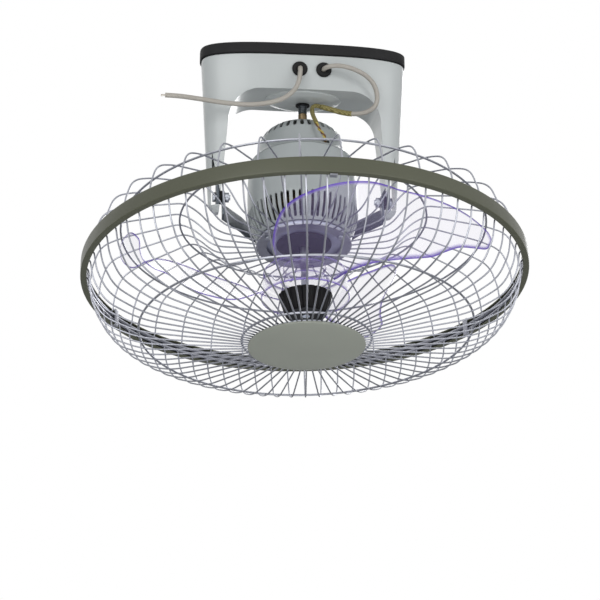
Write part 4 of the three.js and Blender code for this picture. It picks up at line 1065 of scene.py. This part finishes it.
class FAN_OT_blades(bpy.types.Operator):
    """Three swept see-through blades on a cup-shaped hub"""

    bl_idname = "fan.blades"
    bl_label = "Blades"

    def execute(self, context):
        for i in range(BLADE_COUNT):
            verts, faces, edge_shades = blade_shape(BLADE_FIRST + 360 * i / BLADE_COUNT)
            obj = raw_object(f"blade_{i + 1}", (verts, faces), HEAD)
            if len(obj.data.vertices) != len(edge_shades):
                raise RuntimeError("points of a blade were merged")
            # painted edge shade of each point of the blade
            layer = obj.data.attributes.new("edge_shade_share", "FLOAT", "POINT")
            layer.data.foreach_set("value", edge_shades)
            finished(obj, "blade_violet_edge_shade", "rotor", ["fan_blades"], 45)
        outline = split_long(eased(self.hub_outline(), 1.0, 3, closed=True), 1.2)
        cup = raw_object("blade_hub", turned(outline, 120), HEAD)
        # painted shade at the rims of the hub, as along the blades' edges
        layer = cup.data.attributes.new("edge_shade_share", "FLOAT", "POINT")
        to_head = (TO_METRES @ HEAD).inverted()
        for vertex, share in zip(cup.data.vertices, layer.data):
            share.value = self.rim_shade_share(to_head @ vertex.co)
        finished(cup, "blade_violet_edge_shade", "rotor", ["fan_blades"], 35)
        return {"FINISHED"}

    def hub_outline(self):
        inner, floor = HUB_RADIUS - HUB_WALL, HUB_WEB + 3
        return [
            (SHAFT_HOLE, HUB_FRONT + 3), (11, HUB_FRONT + 3), (11, HUB_WEB), (inner, HUB_WEB),
            (inner, HUB_FRONT), (HUB_RADIUS, HUB_FRONT), (HUB_RADIUS - 1.2, HUB_WEB),
            (HUB_RADIUS - 3, HUB_BACK), (inner - 3, HUB_BACK), (inner - 2, floor),
            (BOSS_RADIUS, floor), (BOSS_RADIUS - 0.8, BOSS_BACK),
            (BOSS_RADIUS - 3, BOSS_BACK), (BOSS_RADIUS - 2.2, floor), (10, floor), (10, BOSS_BACK + 5),
            (SHAFT_HOLE, BOSS_BACK + 5),
        ]

    def rim_shade_share(self, point):
        """How near a point of the hub is to one of its rims, where the plastic looks darkest: the weight of
        the painted shade there.
        """
        radius, height = math.hypot(point.x, point.y), point.z
        rims = (
            (HUB_RADIUS, HUB_FRONT), (HUB_RADIUS - 3, HUB_BACK),
            (BOSS_RADIUS, HUB_WEB + 3), (BOSS_RADIUS, BOSS_BACK),
        )
        near = min(math.hypot(radius - r, height - z) for r, z in rims)
        return max(0.0, 1 - near / 3.6)


class FAN_OT_blade_nut(bpy.types.Operator):
    """Ribbed black nut that holds the blades on the shaft"""

    bl_idname = "fan.blade_nut"
    bl_label = "Blade nut"

    def execute(self, context):
        top, bottom, ribs = HUB_FRONT + 2.7, HUB_FRONT - 19.3, 24
        levels = []
        for share in [0, 0.04, 0.1, 0.25, 0.5, 0.75, 0.9, 1.0]:
            height = bottom + (top - bottom) * share
            base = 21 + 7 * share - (0.8 if share == 0 else 0.25 if share == 0.04 else 0)
            outline = []
            for k in range(ribs * 10):
                reach = base - 1.1 * max(0.0, math.cos(2 * math.pi * k / 10)) ** 3
                angle = 2 * math.pi * k / (ribs * 10)
                outline.append((reach * math.cos(angle), reach * math.sin(angle)))
            levels.append((outline, height))
        nut = raw_object("nut_ribbed", lofted(levels), HEAD)
        carve(nut, [plug(SHAFT_HOLE, bottom + 2, top + 2, 32)], HEAD)
        finished(nut, "nut_plastic", "rotor", ["blade_nut"], 40)
        finer("crank", "crank_arm", "slate_steel", "crank", 0.4)
        return {"FINISHED"}


# ---- stage ----
CAMERA_TURN = math.radians(6.6)
CAMERA_RISE = math.radians(13.7)
CAMERA_DISTANCE = 1626.0
CAMERA_ASIDE = 5.4
CAMERA_BELOW = 7.5
CAMERA_LENS = 94.8
HEAD_CENTRE_DROP = 109.0
FLOOR_HALF = 40000
FLOOR_DROP = 2200
LAMPS = (
    ("key_lamp", (-1.1, -2.0, 0.35), (0, 0, -0.15), 1.5, 19),
    ("fill_lamp", (1.5, -1.8, 0.0), (0, 0, -0.2), 1.6, 15),
    ("under_lamp", (0.0, -1.3, -1.3), (0, 0, -0.25), 1.4, 11),
    ("back_lamp", (0.5, 1.7, 0.5), (0, 0, -0.15), 1.2, 17),
)


class FAN_OT_stage(bpy.types.Operator):
    """Camera, soft lamps, pale floor and white surroundings"""

    bl_idname = "fan.stage"
    bl_label = "Stage"

    def execute(self, context):
        self.camera()
        self.world()
        self.floor()
        for name, place, aim, size, power in LAMPS:
            self.lamp(name, Vector(place), Vector(aim), size, power)
        context.scene.view_settings.view_transform = "Standard"
        return {"FINISHED"}

    def camera(self):
        level = math.cos(CAMERA_RISE)
        forward = Vector((
            math.sin(CAMERA_TURN) * level, math.cos(CAMERA_TURN) * level, math.sin(CAMERA_RISE),
        ))
        right = Vector((math.cos(CAMERA_TURN), -math.sin(CAMERA_TURN), 0))
        up = right.cross(forward)
        axis = HEAD.to_3x3() @ Vector((0, 0, 1))
        centre = PIVOT.translation - axis * HEAD_CENTRE_DROP
        place = (centre - right * CAMERA_ASIDE - up * CAMERA_BELOW - forward * CAMERA_DISTANCE) * MM
        data = bpy.data.cameras.new("view_camera")
        data.lens = CAMERA_LENS
        data.sensor_width = 36.0
        camera = linked("view_camera", data)
        turn = Matrix((right, up, -forward)).transposed().to_4x4()
        camera.matrix_world = Matrix.Translation(place) @ turn
        bpy.context.scene.camera = camera

    def lamp(self, name, place, aim, size, power):
        data = bpy.data.lights.new(name, "AREA")
        data.shape = "SQUARE"
        data.size = size
        data.energy = power
        lamp = linked(name, data)
        lamp.location = place
        lamp.rotation_euler = (aim - place).to_track_quat("-Z", "Y").to_euler()

    def world(self):
        world = bpy.data.worlds.new("studio")
        bpy.context.scene.world = world
        world.use_nodes = True
        nodes, links = world.node_tree.nodes, world.node_tree.links
        light = nodes["Background"]
        set_inputs(light, {"Color": (0.86, 0.88, 0.92, 1), "Strength": 0.31})
        white = nodes.new("ShaderNodeBackground")
        set_inputs(white, {"Color": (1, 1, 1, 1), "Strength": 1.0})
        rays = nodes.new("ShaderNodeLightPath")
        seen = rays.outputs["Is Camera Ray"]
        for kind in ("Is Transmission Ray", "Is Glossy Ray"):
            most = nodes.new("ShaderNodeMath")
            most.operation = "MAXIMUM"
            links.new(seen, most.inputs[0])
            links.new(rays.outputs[kind], most.inputs[1])
            seen = most.outputs["Value"]
        ends = light.outputs["Background"], white.outputs["Background"]
        self.mixed(world.node_tree, seen, *ends, "World Output")

    def mixed(self, tree, share, first, second, output):
        mix = tree.nodes.new("ShaderNodeMixShader")
        tree.links.new(share, mix.inputs["Fac"])
        tree.links.new(first, mix.inputs[1])
        tree.links.new(second, mix.inputs[2])
        tree.links.new(mix.outputs["Shader"], tree.nodes[output].inputs["Surface"])

    def floor(self):
        across = (-FLOOR_HALF, FLOOR_HALF)
        slab = block(*across, *across, -FLOOR_DROP - 10, -FLOOR_DROP)
        floor = raw_object("floor", slab, UPRIGHT)
        finish = Finish("floor_white")
        finish.colour((0.86, 0.86, 0.86, 1), 0.01, 2.0)
        finish.plain(Roughness=0.8)
        self.lift(finish)
        floor.data.materials.append(finish.material)

    def lift(self, finish):
        """Makes the floor nearly white to the camera, without lighting the object."""
        nodes, links = finish.nodes, finish.links
        rays = nodes.new("ShaderNodeLightPath")
        share = nodes.new("ShaderNodeMath")
        share.operation = "MULTIPLY"
        share.inputs[1].default_value = 0.85
        links.new(rays.outputs["Is Camera Ray"], share.inputs[0])
        glow = nodes.new("ShaderNodeEmission")
        ends = finish.shader.outputs["BSDF"], glow.outputs["Emission"]
        self.mixed(finish.material.node_tree, share.outputs["Value"], *ends, "Material Output")


class FanColours(bpy.types.PropertyGroup):
    canopy: FloatVectorProperty(
        name="Canopy", description="Paint of the canopy", subtype="COLOR", size=3, min=0, max=1,
        default=srgb(190, 195, 194)[:3],
    )
    motor: FloatVectorProperty(
        name="Motor", description="Paint of the motor covers", subtype="COLOR", size=3, min=0, max=1,
        default=srgb(166, 172, 172)[:3],
    )
    band: FloatVectorProperty(
        name="Band", description="Paint of the guard band", subtype="COLOR", size=3, min=0, max=1,
        default=srgb(82, 84, 68)[:3],
    )
    badge: FloatVectorProperty(
        name="Badge", description="Paint of the badge", subtype="COLOR", size=3, min=0, max=1,
        default=srgb(148, 152, 141)[:3],
    )


class FanSizes(bpy.types.PropertyGroup):
    wire_radius: FloatProperty(
        name="Wire radius", description="Radius of the guard wires", default=0.00085, min=0.0006, max=0.0016,
        unit="LENGTH", subtype="DISTANCE", precision=5,
    )
    cord_diameter: FloatProperty(
        name="Cord diameter", description="Diameter of both cords", default=0.005, min=0.004, max=0.006,
        unit="LENGTH", subtype="DISTANCE", precision=4,
    )


OPERATORS = (
    FAN_OT_stage, FAN_OT_cords, FAN_OT_leads, FAN_OT_canopy, FAN_OT_glands, FAN_OT_link, FAN_OT_pivots,
    FAN_OT_gimbal, FAN_OT_motor_covers, FAN_OT_motor_base, FAN_OT_guard_wires, FAN_OT_guard_band,
    FAN_OT_badge, FAN_OT_blades, FAN_OT_blade_nut,
)


class FAN_PT_pieces(bpy.types.Panel):
    """The fan's pieces, colours and sizes"""

    bl_label = "Orbital fan"
    bl_idname = "FAN_PT_pieces"
    bl_space_type = "VIEW_3D"
    bl_region_type = "UI"
    bl_category = "Fan"

    def draw(self, context):
        layout = self.layout
        for settings in (context.scene.fan_colours, context.scene.fan_sizes):
            for name in settings.__annotations__:
                layout.prop(settings, name)
        for operator in OPERATORS:
            layout.operator(operator.bl_idname)


CLASSES = (FanColours, FanSizes, *OPERATORS, FAN_PT_pieces)


def register():
    for cls in CLASSES:
        bpy.utils.register_class(cls)
    bpy.types.Scene.fan_colours = PointerProperty(type=FanColours)
    bpy.types.Scene.fan_sizes = PointerProperty(type=FanSizes)


def unregister():
    del bpy.types.Scene.fan_sizes
    del bpy.types.Scene.fan_colours
    for cls in reversed(CLASSES):
        bpy.utils.unregister_class(cls)


def main():
    register()
    for operator in OPERATORS:
        group, name = operator.bl_idname.split(".")
        getattr(getattr(bpy.ops, group), name)()
    bpy.context.view_layer.update()


if __name__ == "__main__":
    main()
